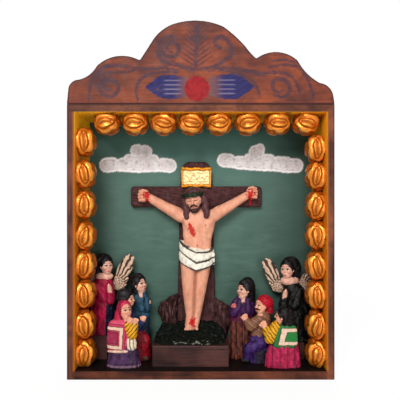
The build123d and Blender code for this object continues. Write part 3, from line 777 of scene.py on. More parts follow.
def distance_to(line, x, z):
    """How far each place is from a line, and how far along the line it is, 0 to 1."""
    best, along = np.full(x.shape, 1e9), np.zeros(x.shape)
    for i, (px, pz) in enumerate(line):
        near = np.hypot(x - px, z - pz)
        along[near < best] = i / (len(line) - 1)
        best = np.minimum(near, best)
    return best, along


# Scrolls on the crest: half width, and places on the line
CREST_LINES = [
    (1.7, [(-24, 273), (-28, 276), (-27, 280.5), (-22, 281.8), (-18.6, 278.4), (-19.3, 272.6), (-24, 269.3),
           (-29.8, 270.9), (-33.6, 276.8), (-32.3, 283.4), (-25.6, 286.4), (-19.8, 284.8)]),
    (2.0, [(-34.8, 281.8), (-35.6, 273.4), (-32.3, 266.8), (-25.6, 264.3), (-17.3, 262.6), (-10.6, 260.1),
           (-3.9, 259.3)]),
    (1.9, [(16.1, 276.8), (12.7, 279.3), (12.4, 283.4), (16.1, 285.9), (21.1, 284.3), (25.3, 278.4),
           (25.3, 271.8), (20.2, 266.8), (13.6, 262.6), (6.1, 260.1), (-2.3, 259.3)]),
    (1.6, [(-3.1, 296.8), (-3.1, 283.4), (-3.9, 270.1), (-4.3, 260.1)]),
    (1.6, [(-93.2, 233.4), (-92.3, 243.4), (-89, 253.4), (-80.7, 260.9), (-70.7, 262.6), (-55.6, 260.1),
           (-44, 259.3), (-30.6, 260.1), (-19.8, 258.4)]),
    (1.3, [(-85.7, 250.1), (-83.2, 255.9), (-77.3, 256.4), (-65.7, 256.4), (-54, 258.4)]),
    (1.4, [(-52.3, 233.4), (-54, 241.7), (-50.6, 250.1), (-42.3, 255.1), (-30.6, 256.8), (-19.8, 256.4)]),
    (1.5, [(6.1, 257.4), (16.1, 260.1), (27.8, 260.1), (39.4, 257.6), (49.4, 255.1), (57.8, 256.4),
           (67.8, 255.9), (76.1, 252.6), (81.1, 245.1), (82.8, 238.4)]),
    (1.4, [(57.8, 260.9), (69.5, 262.6), (81.1, 260.9), (87.8, 253.4), (92, 243.4), (94.5, 235.1)]),
    (1.1, [(59.4, 265.9), (71.1, 266.8), (81.1, 264.3)]),
    (1.3, [(16.1, 258.4), (29.4, 256.4), (39.4, 251.7), (46.1, 245.1), (49.4, 236.7)]),
    (1.6, [(-74.8, 241.7), (-79.8, 242.6), (-80.7, 247.6), (-75.7, 250.1), (-69.8, 247.6), (-69, 241.7),
           (-74, 236.7), (-81.5, 238.4), (-85.3, 244.2), (-82.3, 250.1), (-74.8, 252.6)]),
    (1.6, [(68.6, 241.7), (64.5, 240.1), (60.3, 243.4), (61.1, 249.2), (67.8, 250.9), (73.6, 246.7),
           (73.6, 239.2), (67.8, 235.9), (61.1, 237.6)]),
]


def crest_field(x, z):
    """Scrolls, a feather, two blue petals and a red boss."""
    flat = np.stack([x, 0 * x, z], 1)
    brush = ripple(flat, 2.2, 21)
    patch = 0.72 + 0.28 * step(ripple(flat, 5.5, 22), -0.6, 0.6)
    cover = np.zeros(x.shape)
    for width, line in CREST_LINES:
        near, along = distance_to(curve_through(line), x, z)
        taper = width * (0.85 + 0.4 * np.sin(pi * along))
        cover = np.maximum(cover, 0.9 * patch * step(taper + 0.35 * brush - near, -0.5, 0.9))
    for side in (-1, 1):
        for i in range(9):
            root = np.array([-3.8, 261 + 3.9 * i])
            tip = root + (side * (13.5 - 1.0 * i), 9.0 - 0.2 * i)
            near, along = distance_to(np.linspace(root, tip, 24), x, z)
            cover = np.maximum(cover, 0.85 * patch * step(1.15 - 0.5 * along - near, -0.3, 0.5))
    colours = ink(62, 42, 52)
    for outer, inner, middle, tall in ((-46.9, -9, 244.4, 10.2), (45.5, 6.5, 244.6, 10.6)):
        reach = (x - outer) / (inner - outer)
        rise = np.sin(pi * np.clip(reach, 0, 1)) ** 1.1
        half = tall * np.where(reach < 0.5, rise, 1 - 0.3 * (2 * reach - 1) ** 2)
        inside = step(half - abs(z - middle) + 0.3 * brush, -0.3, 0.3) * (reach > 0) * (reach < 1)
        away = np.min([abs(z - middle - 5.4 + 3.7 * i) for i in range(4)], 0)
        rays = step(0.5 - away, -0.2, 0.3) * step(reach, 0.38, 0.5) * step(0.86 - reach, 0, 0.14)
        blue = laid(
            ink(24, 36, 96), (0.45 + 0.6 * brush, ink(34, 22, 56)),
            (step(reach, 0.62, 0.95), ink(104, 66, 66)), (0.65 * rays, ink(134, 120, 144)),
        )
        colours = np.where(inside[:, None] > 0.3, blue, colours)
        cover = np.maximum(cover * (1 - inside), 0.97 * inside)
    boss_x, boss_z, boss_radius = -3.1, 243, 10.4
    across, up = x - boss_x, z - boss_z
    away = np.hypot(across, up * 0.98)
    boss = step(boss_radius + 0.35 * brush - away, -0.3, 0.4)
    petal = 0.5 + 0.5 * np.cos(6 * np.arctan2(up, across) + 0.9 * away)
    red = laid(ink(142, 14, 22), (petal * step(away, 1, 8) * 0.6, ink(104, 16, 22)))
    return np.maximum(cover * (1 - boss), boss), np.where(boss[:, None] > 0.3, red, colours)


# Brush strokes of the clouds: both ends, and the half width
CLOUDS = [
    [(-89.5, 183.2, -84, 183.6, 7.3), (-84, 183.4, -74, 182.6, 5.9), (-74, 183.6, -58, 182.4, 6.8),
     (-58, 183.2, -46, 183.6, 7.2), (-46, 182.6, -38, 182.8, 6.2), (-36, 183.4, -29.5, 182.6, 6.9),
     (-68, 188, -45, 187.6, 6.0), (-61.0, 197.0, -60.0, 197.2, 6.2), (-52.8, 196.4, -52.0, 195.8, 6.2)],
    [(22.4, 187.8, 27, 187.4, 6.9), (27, 186.4, 36, 185.4, 5.8), (36, 185.6, 46, 185.0, 6.6),
     (46, 185.2, 60, 184.4, 7.0), (60, 183.4, 72, 183.4, 6.1), (72, 183.8, 80, 182.8, 6.9),
     (80, 182.6, 91, 182.8, 7.0), (46, 189, 66, 188.4, 5.6), (52.2, 195.4, 54.2, 196.0, 6.8),
     (57.6, 198.4, 56.8, 200.2, 3.8), (74, 186, 82, 185.4, 6)],
]


def cloud_field(strokes, x, z):
    """A white cloud of round brush strokes that curl at their ends."""
    flat = np.stack([x, 0 * x, z], 1)
    puffs = ripple(flat, 4.6, 31)
    edge, curls = np.full(x.shape, -99.0), np.zeros(x.shape)
    for ax, az, bx, bz, radius in strokes:
        share = ((x - ax) * (bx - ax) + (z - az) * (bz - az)) / ((bx - ax) ** 2 + (bz - az) ** 2)
        share = np.clip(share, 0, 1)
        away = np.hypot(x - ax - share * (bx - ax), z - az - share * (bz - az))
        edge = np.maximum(edge, radius - away)
        curls = np.maximum(curls, step(np.cos(2 * pi * (away + 0.6 * puffs) / 3.1) * (away < radius), 0, 1))
    arcs = curls * step(ripple(flat, 8.0, 33), -0.7, 0.3)
    rim = step(1.5 - abs(edge - 1.0), 0, 1.0)
    white = laid(
        ink(220, 210, 209), (0.55 * step(puffs, -0.1, 1.2), ink(160, 156, 156)),
        (0.6 * arcs + 0.75 * rim, ink(244, 238, 236)),
    )
    return 0.94 * step(edge + 0.4 * ripple(flat, 1.3, 32), -0.5, 0.7), white


def cloud_mesh(name, strokes):
    """A thin closed coat of paint on the panel, in the grid's squares that it reaches."""
    grid, margin, bottom, top = 0.5, 9, 173, 207
    proud, sunk = PANEL - 0.05, PANEL + 0.02
    ends = np.array(strokes)[:, (0, 2)]
    xs = np.arange(ends.min() - margin, ends.max() + margin + grid, grid)
    zs = np.arange(bottom, top + grid, grid)
    x, z = np.meshgrid(xs, zs)
    cover, colours = cloud_field(strokes, x.ravel(), z.ravel())
    wet = (cover > 0.02).reshape(x.shape)
    cells = wet[:-1, :-1] | wet[1:, :-1] | wet[:-1, 1:] | wet[1:, 1:]
    index, faces = {}, []

    def corners(places, y):
        return [index.setdefault((*place, y), len(index)) for place in places]

    for r, c in zip(*np.nonzero(cells)):
        around = [(r, c), (r, c + 1), (r + 1, c + 1), (r + 1, c)]
        faces += [corners(around, proud), corners(around[::-1], sunk)]
        beside = cells[r - 1, c], cells[r, c + 1], cells[r + 1, c], cells[r, c - 1]
        for first, last, wet in zip(around, around[1:] + around[:1], beside):
            if not wet:
                faces.append(corners([last, first], proud) + corners([first, last], sunk))
    mesh = bpy.data.meshes.new(name)
    mesh.from_pydata([(xs[c] * MM, y * MM, zs[r] * MM) for r, c, y in index], [], faces)
    source = [r * len(xs) + c for r, c, _ in index]
    put_colours(mesh, colours[source], cover[source])
    return mesh


def paint_boards(crest_wood, sky):
    """The crest with its ornament, worn along its edges, and the clouds."""
    form = node_form("painted_crest", ["crest_board"], voxel=0.6, rounds=4)
    x, y, z = form.points.T
    cover, colours = crest_field(x, z)
    worn = step(-form.hollow() + 0.012 * ripple(form.points, 3.0, 23), 0.03, 0.12)
    cover = np.maximum(cover * step(FRONT + 1.2 - y, 0, 0.4), 0.85 * worn)
    put_colours(form.mesh, laid(colours, (worn, ink(46, 26, 26))), cover)
    put_piece(form.mesh, crest_wood, "crest_paint", ["crest_board"])
    for i, strokes in enumerate(CLOUDS):
        put_piece(cloud_mesh(f"cloud_{i + 1}", strokes), sky, "panel_paint", smooth=False)


# Roses

def rose_lines(random):
    """The edges of a rose's petals: a cleft bud, petals that hug it and a ring of wide ones."""
    def arc(turn, across, tall):
        return np.stack([across * np.cos(turn), tall * np.sin(turn)], 1)

    rise = np.linspace(-0.34, 0.34, 16)
    lines = [np.stack([0.03 * np.sin(7 * rise), rise], 1)]
    for side in (0, pi):
        first = side + random.uniform(-1.6, -1.3)
        turn = np.linspace(first, first + random.uniform(2.9, 3.3), 22)
        across = random.uniform(0.25, 0.3)
        swell = 1 + random.uniform(0.12, 0.24) * np.linspace(0, 1, 22)
        lines.append(arc(turn, across * swell, 0.46 * swell))
    petals = 5
    turns = random.uniform(0, 2 * pi) + 2 * pi * (np.arange(petals + 1) + random.uniform(-0.1, 0.1)) / petals
    for first, last in zip(turns, turns[1:]):
        reach = 0.6 + 0.2 * np.sin(pi * np.linspace(0, 1, 20))
        lines.append(arc(np.linspace(first, last, 20), reach, 1.08 * reach))
        reach = np.linspace(0.8, 1.5, 12)
        lines.append(arc((first + last) / 2, reach, 1.08 * reach))
    return lines


def rose_mesh(seed):
    """A rose round its own centre that faces the front: plump petals between deep grooves, with painted
    highlights on the petals and painted shade in the grooves and towards the back.
    """
    clay = Clay((0, 0, 0))
    clay.egg((0, 0.6, 0), (12.2, 13.0, 12.2), None, power=0.92)
    form = Form(f"rose_form_{seed}", clay.verts, clay.faces, voxel=0.4)
    form.smooth(3)
    x, y, z = form.points.T
    tilt = np.arctan2(np.hypot(x, z), 0.6 - y) / (pi / 2)
    turn = np.arctan2(z, x)
    across = tilt * np.cos(turn) + 0.03 * ripple(form.points, 16.0, seed + 5)
    up = tilt * np.sin(turn) + 0.03 * ripple(form.points, 16.0, seed + 7)
    lines = rose_lines(np.random.default_rng(seed))
    near = np.min([distance_to(line, across, up)[0] for line in lines], axis=0)
    plump = 1 - np.exp(-((near / 0.14) ** 1.3))
    form.swell(2.4 * plump - 1.5 + 0.06 * ripple(form.points, 7.0, seed))
    form.smooth(1)
    y = form.points[:, 1]
    colours = laid(
        varied(ink(210, 116, 25), form.points, 0.12, 7.0, seed + 9),
        # Painted highlight: lighter on the petal tops nearer the middle.
        (0.6 * step(near, 0.06, 0.18) * step(0.8 - tilt, 0, 0.35), ink(246, 178, 78)),
        # Painted shade in the grooves.
        (0.85 * step(0.05 - near, 0, 0.045), ink(106, 38, 5)),
        # Painted shade: darker orange on one half and towards the back.
        (0.8 * step(y + 3 * tilt * (turn < 0), -6.0, 1.0), ink(184, 94, 22)),
    )
    # Painted shade: darker towards the wall the rose sits on.
    put_colours(form.mesh, laid(colours, (step(y, 0.0, 6.0), colours * 0.45)))
    return form.mesh


def build_roses():
    """One rose for each node, cut flat where it sits on its wall."""
    gilt = gilt_material()
    meshes = [rose_mesh(seed) for seed in (41, 42, 43, 44)]
    behind_front, below_top, off_wall = 0.0145, 0.0072, 0.0056
    lean_in, lean_down = 0.18, 0.14
    number = 0
    for wall, side, up in (("left", -1, 0), ("right", 1, 0), ("top", 0, 1)):
        for i in range(8):
            node = f"rose_{wall}_{i + 1}"
            low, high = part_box(node)
            middle = (low + high) / 2
            centre = Vector((middle.x, FRONT * MM + behind_front, middle.z))
            if up:
                centre.z = CEILING * MM - below_top
                size, lie = (0.92, 1, 0.85), pi / 2
            else:
                centre.x = side * (WALL * MM - off_wall)
                size, lie = (0.78, 1, 1.02), 0
            work = bmesh.new()
            work.from_mesh(meshes[number % 4])
            facing = Matrix.Rotation(-side * lean_in, 4, "Z") @ Matrix.Rotation(up * lean_down, 4, "X")
            spin = Matrix.Rotation(lie + pi * (number % 3) + 0.3 * sin(5 * number), 4, "Y")
            spin = Matrix.Diagonal((*size, 1)) @ facing @ spin
            bmesh.ops.transform(work, matrix=Matrix.Translation(centre) @ spin, verts=work.verts)
            cut = bmesh.ops.bisect_plane(
                work, geom=work.verts[:] + work.edges[:] + work.faces[:], clear_outer=True,
                plane_co=Vector((side * WALL * MM, 0, up * CEILING * MM)), plane_no=Vector((side, 0, up)),
            )
            rims = [e for e in cut["geom_cut"] if isinstance(e, bmesh.types.BMEdge)]
            bmesh.ops.holes_fill(work, edges=rims, sides=0)
            mesh = bpy.data.meshes.new(f"moulded_{node}")
            work.to_mesh(mesh)
            work.free()
            put_piece(mesh, gilt, "rose_gilt", [node])
            number += 1


# The figure on the cross

# Middle, radius and seed of each ragged red patch
WOUNDS = (
    ((-46.0, -8.0, 1.4), 3.2, 61), ((-45.0, -7.0, -3.0), 2.4, 62), ((50.4, -8.0, 3.4), 3.6, 63),
    ((50.0, -6.5, -0.6), 2.2, 67), ((-3.4, -16.5, -113.2), 3.0, 64), ((-2.0, -17.0, -116.0), 1.8, 65),
)


def corpus_coat(p):
    """Flesh with a warm flush, painted shade between the legs, ribs, navel and the wounds."""
    x, y, z = p.T
    front = y < -9
    between = abs(x + 0.2 + 2.6 * np.clip((-62 - z) / 52, 0, 1))
    ribs = step(np.sin(1.35 * z + 0.12 * abs(x - 1.5) ** 1.4), 0.72, 1) * (abs(x - 1.5) < 11)
    colours = laid(
        varied(SKIN, p, 0.05, 9.0, 51), (0.25 * step(ripple(p, 11.0, 52), 0.1, 1.1), ink(204, 118, 96)),
        # Painted shade in the gap between the legs.
        (0.6 * step(2.6 - between, 0, 2.2) * (z < -60), ink(146, 78, 58)),
        *((0.4 * front * spot(x - knee, z + 86, 3.4, 5, 0.8), ink(206, 116, 92)) for knee in (-6.9, 3.1)),
        (0.22 * ribs * front * (z < -27) * (z > -40), ink(178, 104, 80)),
        (0.8 * front * spot(x - 1, z + 44.5, 0.8, 0.8), ink(120, 60, 48)),
        *((0.8 * front * spot(x - side, z + 26, 0.75, 0.75), ink(168, 84, 70)) for side in (-5.8, 8.6)),
    )
    for centre, radius, seed in WOUNDS:
        away = np.linalg.norm(p - centre, axis=1) / radius + 0.4 * ripple(p, 2.6, seed)
        colours = laid(colours, (0.95 * step(1.05 - away, -0.1, 0.2), BLOOD))
    along = np.clip((-23.5 - z) / 13, 0, 1)
    away = abs(x + 6.4 - 4.4 * along) / (0.7 + 2.1 * np.sin(pi * along ** 1.3))
    gash = (away + 0.35 * ripple(p, 2.0, 66) < 1) & (along > 0) & (along < 1) & front
    return laid(colours, (0.92 * gash, BLOOD))


def build_corpus(place, paste):
    """The body with its arms and legs, and the hands with a nail."""
    clay, coat = Clay(place), corpus_coat
    clay.robe([
        (-66, 0, 11.5, 7, -9), (-60, 0, 13.8, 7.5, -8.8), (-52, 0.3, 13.8, 7.3, -8.6),
        (-45, 1, 12.6, 6.4, -8), (-39, 1.2, 12.9, 6.5, -8), (-31, 1.8, 14.2, 7, -8),
        (-24, 2.2, 15.2, 7.2, -8), (-18, 1.8, 15, 6.4, -7.6), (-14, 0.5, 11, 5.2, -7.5),
        (-10, -1, 5.4, 4.4, -8), (-5, -2, 4.6, 4.2, -8.5),
    ], coat)
    for centre, half in (
        ((-5, -11.6, -23.5), (6.8, 3, 5.4)), ((8.4, -11.6, -23.5), (7.0, 3, 5.4)),
        ((1.2, -12.0, -43), (7.0, 2.6, 7.6)), ((-8.0, -10.2, -34), (4.4, 3, 7)),
        ((10.4, -10.2, -34), (4.4, 3, 7)), ((-6.9, -14.6, -86.5), (3.4, 2.6, 4.0)),
        ((3.1, -14.6, -86.5), (3.4, 2.6, 4.0)), ((0.8, -17.4, -119.2), (1.4, 1.6, 1.8)),
    ):
        clay.egg(centre, half, coat)
    for places, radii in (
        ([(-13.5, -7.5, -18), (-30, -6.6, -8.6), (-44, -4.8, -0.6)], (6.2, 4.8, 4.8, 3.9)),
        ([(-17.5, -8.4, -14.8), (-25, -7.6, -11)], (5.6, 5.0)),
        ([(15.5, -7.5, -17.5), (33, -6.6, -7.2), (48, -4.8, 2)], (6.2, 4.7, 4.6, 3.6)),
        ([(20, -8.4, -14), (28, -7.6, -10.4)], (5.6, 4.9)),
        ([(-7.2, -9.4, -58), (-7.0, -11.4, -86), (-5.4, -9.8, -110)], (7.6, 5.7, 5.7, 4.0)),
        ([(6.6, -9.4, -58), (3.2, -11.4, -86), (0.2, -10.2, -109)], (7.6, 5.7, 5.7, 4.0)),
        ([(-5.4, -9.8, -109), (-6.6, -13.4, -117.2)], (4.2, 3.9)),
        ([(0.2, -10.4, -108), (-1.8, -15.2, -117)], (4.2, 3.8)),
    ):
        clay.chain(places, radii, coat)
    for i in range(4):
        clay.egg((-9.8 + 2.2 * i, -16.2 - 0.5 * i, -119.8 + 0.2 * i), (1.2, 1.5, 1.6), coat)
    hands = Clay(place)
    for palm, side in (((-48.6, -4.6, 0.8), -1), ((51.4, -4.6, 3.4), 1)):
        palm = np.array(palm)
        hands.egg(palm, (5.2, 3.2, 6.0), coat, turned(-24 * side))
        for i in range(4):
            root = palm + (side * (4.4 - 0.6 * abs(i - 1.5)), -2.0, 4.2 - 2.7 * i)
            hands.limb(root, root + (-side * 3.4, -2.4, 0.3), 1.55, 1.2, coat)
        hands.limb(palm + (-side * 2.5, -1.8, 4.2), palm + (side * 1.2, -3.6, 5.4), 1.6, 1.2, coat)
    hands.limb((50.4, -0.4, -1), (50.2, -0.3, -7.5), 1.1, 0.7, plain(BLOOD, 68, 0.05))
    hands.finish("pierced_hands", paste, (), voxel=FINE, seed=6, relax=1, rough=0.03)
    nodes = ("crucified_body", "crucified_arm_left", "crucified_arm_right")
    clay.finish("crucified_figure", paste, nodes, voxel=0.45, seed=3, relax=5, rough=0.04)


def build_head(place, paste):
    """A calm, plain head with closed eyes, hair, beard and a wreath of thorns."""
    clay = Clay(place)
    head = Head(clay, (-2.2, -12.2, -2.9), (8.5, 7.9, 10.1), -10, -6, 8)

    def face(p):
        side, forward, up = head.shares(p)
        colours = varied(SKIN, p, 0.08, 4.0, 71)
        front = step(forward, 0.1, 0.4)
        for x in (-0.34, 0.34):
            away = side - x
            lid = step(0.05 - abs(up + 0.02 - 0.9 * away ** 2), 0, 0.035) * (abs(away) < 0.2)
            brow = step(0.045 - abs(up - 0.25 + 0.5 * away ** 2), 0, 0.035) * (abs(away) < 0.24)
            shade = spot(away, up - 0.06, 0.27, 0.16, 1)
            colours = laid(
                colours, (0.45 * shade * front, ink(178, 112, 92)), (0.9 * lid * front, BROWN_HAIR * 0.4),
                (0.85 * brow * front, BROWN_HAIR * 0.6),
            )
        return laid(colours, (0.85 * spot(side, up + 0.56, 0.2, 0.06, 0.5) * front, ink(160, 74, 66)))

    strands, beard = locks(BROWN_HAIR, 73), locks(ink(58, 34, 32), 74)
    head.egg((0, 0, 0.1), (0.9, 0.92, 0.9), face)
    head.egg((0, 0.14, -0.4), (0.6, 0.68, 0.5), face)
    head.limb((0, 0.84, 0.16), (0, 1.02, -0.2), 0.1, 0.15, face)
    head.egg((0, 0.76, -0.56), (0.2, 0.12, 0.08), face)
    head.egg((0, 0.5, -0.92), (0.42, 0.3, 0.26), beard)
    head.egg((0, -0.24, 0.34), (1.1, 1.0, 0.88), strands)
    for x in (-1, 1):
        head.egg((x * 0.4, 0.6, -0.16), (0.24, 0.24, 0.2), face)
        head.egg((x * 0.34, 0.76, 0.03), (0.17, 0.1, 0.1), face)
        head.limb((x * 0.06, 0.9, -0.4), (x * 0.36, 0.7, -0.56), 0.09, 0.08, beard)
        head.limb((x * 0.66, 0.16, -0.3), (x * 0.4, 0.42, -0.84), 0.12, 0.17, beard)
        wide = 1.04 + 0.08 * x
        tress = [(0.92, -0.1, 0.5, 0.36), (wide, 0.0, -0.1, 0.4), (wide + 0.12, 0.05, -0.5, 0.34),
                 (wide - 0.04, 0.15, -0.85, 0.4), (wide + 0.12, 0.24, -1.2, 0.33), (wide, 0.3, -1.55, 0.3)]
        for (ax, ay, az, first), (bx, by, bz, last) in zip(tress, tress[1:]):
            head.limb((x * ax, ay, az), (x * bx, by, bz), first, last, strands)
    head.limb((0, -0.6, 0.4), (0, -0.7, -0.8), 0.8, 0.6, strands)
    head.limb((0.8, -0.4, 0.6), (1.12, -0.4, 0.0), 0.4, 0.44, strands)

    green = plain(ink(26, 40, 25), 75, 0.5)
    for twist in (0, pi):
        a = 2 * pi * np.arange(22) / 22
        level = 0.5 + 0.09 * np.sin(3.5 * a + twist) + 0.03 * np.sin(a)
        ring = np.stack([1.07 * np.cos(a), 1.09 * np.sin(a) - 0.04, level], 1)
        for first, last in zip(np.roll(ring, 1, 0), ring):
            head.limb(first, last, 0.17, 0.18, green)
    for i in range(12):
        a = 2 * pi * (i + 0.3) / 12
        root = np.array([1.1 * cos(a), 1.12 * sin(a), 0.5])
        head.limb(root, root + (0.2 * cos(a), 0.2 * sin(a), 0.2 * (-1) ** i), 0.07, 0.03, green)
    clay.finish("crucified_crowned_head", paste, ["crucified_head"], voxel=0.34, seed=4, relax=2, rough=0.06)


def build_cloth(place, paste):
    """The white cloth, wrapped in two folds that drop to a point."""
    angles = np.linspace(0, 2 * pi, 97)[:-1]
    stations = np.radians([0, 90, 180, 225, 270, 315, 360])
    top, fold_line, foot = (np.interp(angles, stations, levels) for levels in (
        [-46.5, -42, -39, -44.8, -50.4, -50.2, -46.5], [-52.4, -50, -46.5, -52, -59.6, -57.4, -52.4],
        [-59.5, -58, -58, -62.5, -67.5, -64.5, -59.5],
    ))

    def coat(p):
        colours = varied(WHITE, p, 0.1, 5.0, 81)
        turn = np.arctan2((p[:, 1] + 8.6) / 10.4, p[:, 0] / 15.8) % (2 * pi)
        for line, width in ((top, 0.8), (fold_line, 1.0), (foot + 0.9, 1.0)):
            level = np.interp(turn, angles, line, period=2 * pi)
            mark = step(width - abs(p[:, 2] - level + 0.15 * ripple(p, 4.0, 82)), -0.1, 0.3)
            colours = laid(colours, (0.95 * mark, ink(34, 24, 24)))
        return colours

    clay = Clay(place)
    rings = []
    for t in np.linspace(0, 1, 16):
        fold = 0.55 * abs(sin(2 * pi * t)) - 0.7 * (abs(t - 0.5) < 0.04)
        wide, deep = 15.6 + fold + 0.3 * (1 - t), 10.8 + fold
        x, y = wide * np.cos(angles) + 0.3, deep * np.sin(angles) - 8.6
        rings.append(np.stack([x, y, foot + (top - foot) * t], 1))
    clay.stack(rings, coat)
    clay.egg((14.6, -11.5, -53.4), (2.8, 2.8, 3.6), coat)
    clay.limb((15.0, -11.5, -54), (15.6, -10.6, -61), 2.0, 1.4, coat)
    clay.finish("white_loincloth", paste, ["loincloth"], voxel=0.4, seed=5, relax=2, rough=0.1)


# Angels

def wing_coat(root):
    """Cream feathers with dark lines that run out from the root."""
    def coat(p):
        across, up = p[:, 0] - root[0], p[:, 2] - root[1]
        angle, away = np.arctan2(up, across), np.hypot(across, up)
        line = np.sin(31 * angle + 0.6 * ripple(p, 5.0, 91))
        barbs = np.sin(2.1 * away + 2.6 * np.sin(13 * angle))
        return laid(
            varied(ink(214, 178, 150), p, 0.12, 4.0, 92),
            (0.9 * step(barbs, 0.3, 0.7) * step(15 - away, 0, 4), ink(50, 30, 26)),
            (0.95 * step(line, -0.05, 0.3) * step(away, 8, 12), ink(40, 24, 20)),
        )
    return coat


def wing(clay, root, tips, width):
    """A wing of long flat feathers from a root to their tips, laid one over the next."""
    level, coat = 8.0, wing_coat(root)
    clay.limb((root[0] * 0.2, level, root[1]), (root[0], level, root[1] + 3), 2.4, 2.6, coat)
    for i, tip in enumerate(tips):
        along = np.subtract(tip, root)
        middle = np.add(root, tip) / 2
        slope = np.degrees(np.arctan2(along[1], along[0]))
        half = (np.linalg.norm(along) / 2 + 0.8, 1.2, width)
        clay.egg((middle[0], level + 0.5 * (i % 2), middle[1]), half, coat, turned(-slope), power=0.62)


def build_angel(
    paste, name, shift, side, robe, coat, sleeve, front, arms, hands, pose, fringe, bob, lock, neck, skins,
    wings, seed,
):
    """Robe, head and wings of an angel on its pedestal, with its hands together in prayer."""
    x, y, _ = middle_of(f"{name}_pedestal")
    spot = (x + shift, y, FLOOR)
    body = Clay(spot)
    body.robe(robe[0], coat, *robe[1:])
    body.egg(*front, coat)
    for places, radii in arms:
        body.chain(places, radii, sleeve)
    palms = plain(PALE_SKIN, skins[0], 0.08)
    body.egg((side * 7.4, -7.0, hands), (1.5, 1.9, 5.2), palms, turned(side * -4))
    body.egg((side * 8.9, -6.6, hands - 1.0), (1.2, 1.8, 4.4), palms, turned(side * -10))
    body.finish(f"{name}_figure", paste, [f"{name}_body"], seed=seed)
    top = Clay(spot)
    head = Head(top, *pose)
    head.face(PALE_SKIN)
    black = locks(HAIR, 104)
    head.hair(black, 0.7, fringe)
    top.egg(*bob, black)
    top.limb(*lock, black)
    top.egg(*neck, plain(PALE_SKIN, skins[1]))
    top.finish(f"{name}_face", paste, [f"{name}_head"], voxel=FINE, seed=seed + 1, relax=2, rough=0.05)
    back = Clay(spot)
    for root, tips, width in wings:
        wing(back, root, tips, width)
    back.finish(f"{name}_feathers", paste, [f"{name}_wings"], voxel=FINE, seed=seed + 2, relax=1, rough=0.05)


def build_angels(paste):
    """A magenta one at the left and a dark green one at the right, turned to each other."""
    magenta = trimmed(
        plain(ink(146, 11, 50), 101, 0.35),
        lambda p: (p[:, 0] > 4.6 + 0.05 * (p[:, 2] - 40)) & (p[:, 2] < 53), plain(ink(16, 18, 42), 102, 0.3),
    )
    build_angel(
        paste, "angel_left", 1.8, 1, ([
            (21.2, -0.6, 11.0, 6.9), (30, 0, 10.8, 6.9), (45, 0.6, 10.6, 6.9), (60, 0.9, 10.2, 6.4),
            (68, 1.4, 8.8, 5.4), (73, 1.8, 6.0, 4.2)], 11, 0.16, 70),
        magenta, sleeve=plain(ink(154, 16, 56), 103, 0.3), front=((2, -5.0, 44), (5.5, 2.4, 18)), arms=[
            ([(6.4, -3.0, 65), (8.6, -5.2, 53), (8.0, -6.6, 58.5)], (4.0, 4.2, 3.6, 2.6)),
            ([(-4.0, -3.0, 65), (3.0, -6.2, 54)], (3.6, 3.4))],
        hands=63.2, pose=((4.4, -1.8, 83.0), (6.0, 5.7, 8.2), 30, 6, 0), fringe=0.02,
        bob=((1.0, 1.2, 85.4), (8.8, 6.4, 9.0)), lock=((-3.4, 0.6, 84), (-3.6, 0.8, 78.6), 5.2, 4.2),
        neck=((2.0, -0.8, 73.8), (8.2, 4.4, 4.0)), skins=(105, 106), wings=[
            ((9.5, 63), [(27.0, 90.4), (24.4, 92.4), (21.4, 91), (18.6, 88), (16, 83), (26.6, 86), (25.4, 81),
                         (23.4, 76), (22, 70.6), (20.4, 65.4), (17.4, 60.6)], 2.5),
            ((-5, 68), [(-12.6, 79.5), (-14.2, 76.4), (-14.4, 72.6), (-13.6, 68.6), (-11.2, 64.4)], 2.3)],
        seed=111,
    )
    green = plain(ink(4, 8, 7), 121, 0.8)
    build_angel(
        paste, "angel_right", -1.5, -1, ([
            (15.2, 2, 12.2, 6.9), (30, 2, 12.6, 6.9), (42, 2, 12.6, 6.9), (56, 1.4, 11.6, 6.5),
            (63, 1.2, 9.4, 5.6), (68, 0.2, 5.4, 4.2)], 11, 0.18, 64),
        green, sleeve=green, front=((3, -5.2, 38), (7, 2.2, 18)), arms=[
            ([(-5.4, -3.0, 60), (-9.2, -5.0, 48.5), (-7.0, -6.6, 54)], (4.2, 4.4, 3.8, 2.6)),
            ([(6.0, -3.2, 60), (1.0, -6.4, 48)], (4.4, 4.0))],
        hands=58.5, pose=((-5.0, -1.8, 79.6), (6.4, 5.8, 8.6), -32, 6, 4), fringe=0.0,
        bob=((-1.2, 1.2, 82.6), (9.2, 6.4, 9.2)), lock=((3.4, 0.6, 81), (3.2, 0.8, 75.4), 5.4, 4.2),
        neck=((-2.6, -0.8, 69.8), (8.4, 4.4, 4.6)), skins=(125, 107), wings=[
            ((-8.5, 59), [(-25.4, 86), (-23, 88.4), (-20, 88), (-17.2, 85), (-14.8, 80), (-25, 81), (-23, 76),
                          (-21.2, 71), (-19.4, 66), (-16.4, 61.4)], 2.4),
            ((6, 61), [(17.6, 75), (18.8, 71.4), (19.2, 67), (18.6, 62.4), (16.4, 58), (14, 74.4)], 2.3)],
        seed=131,
    )


# Villagers

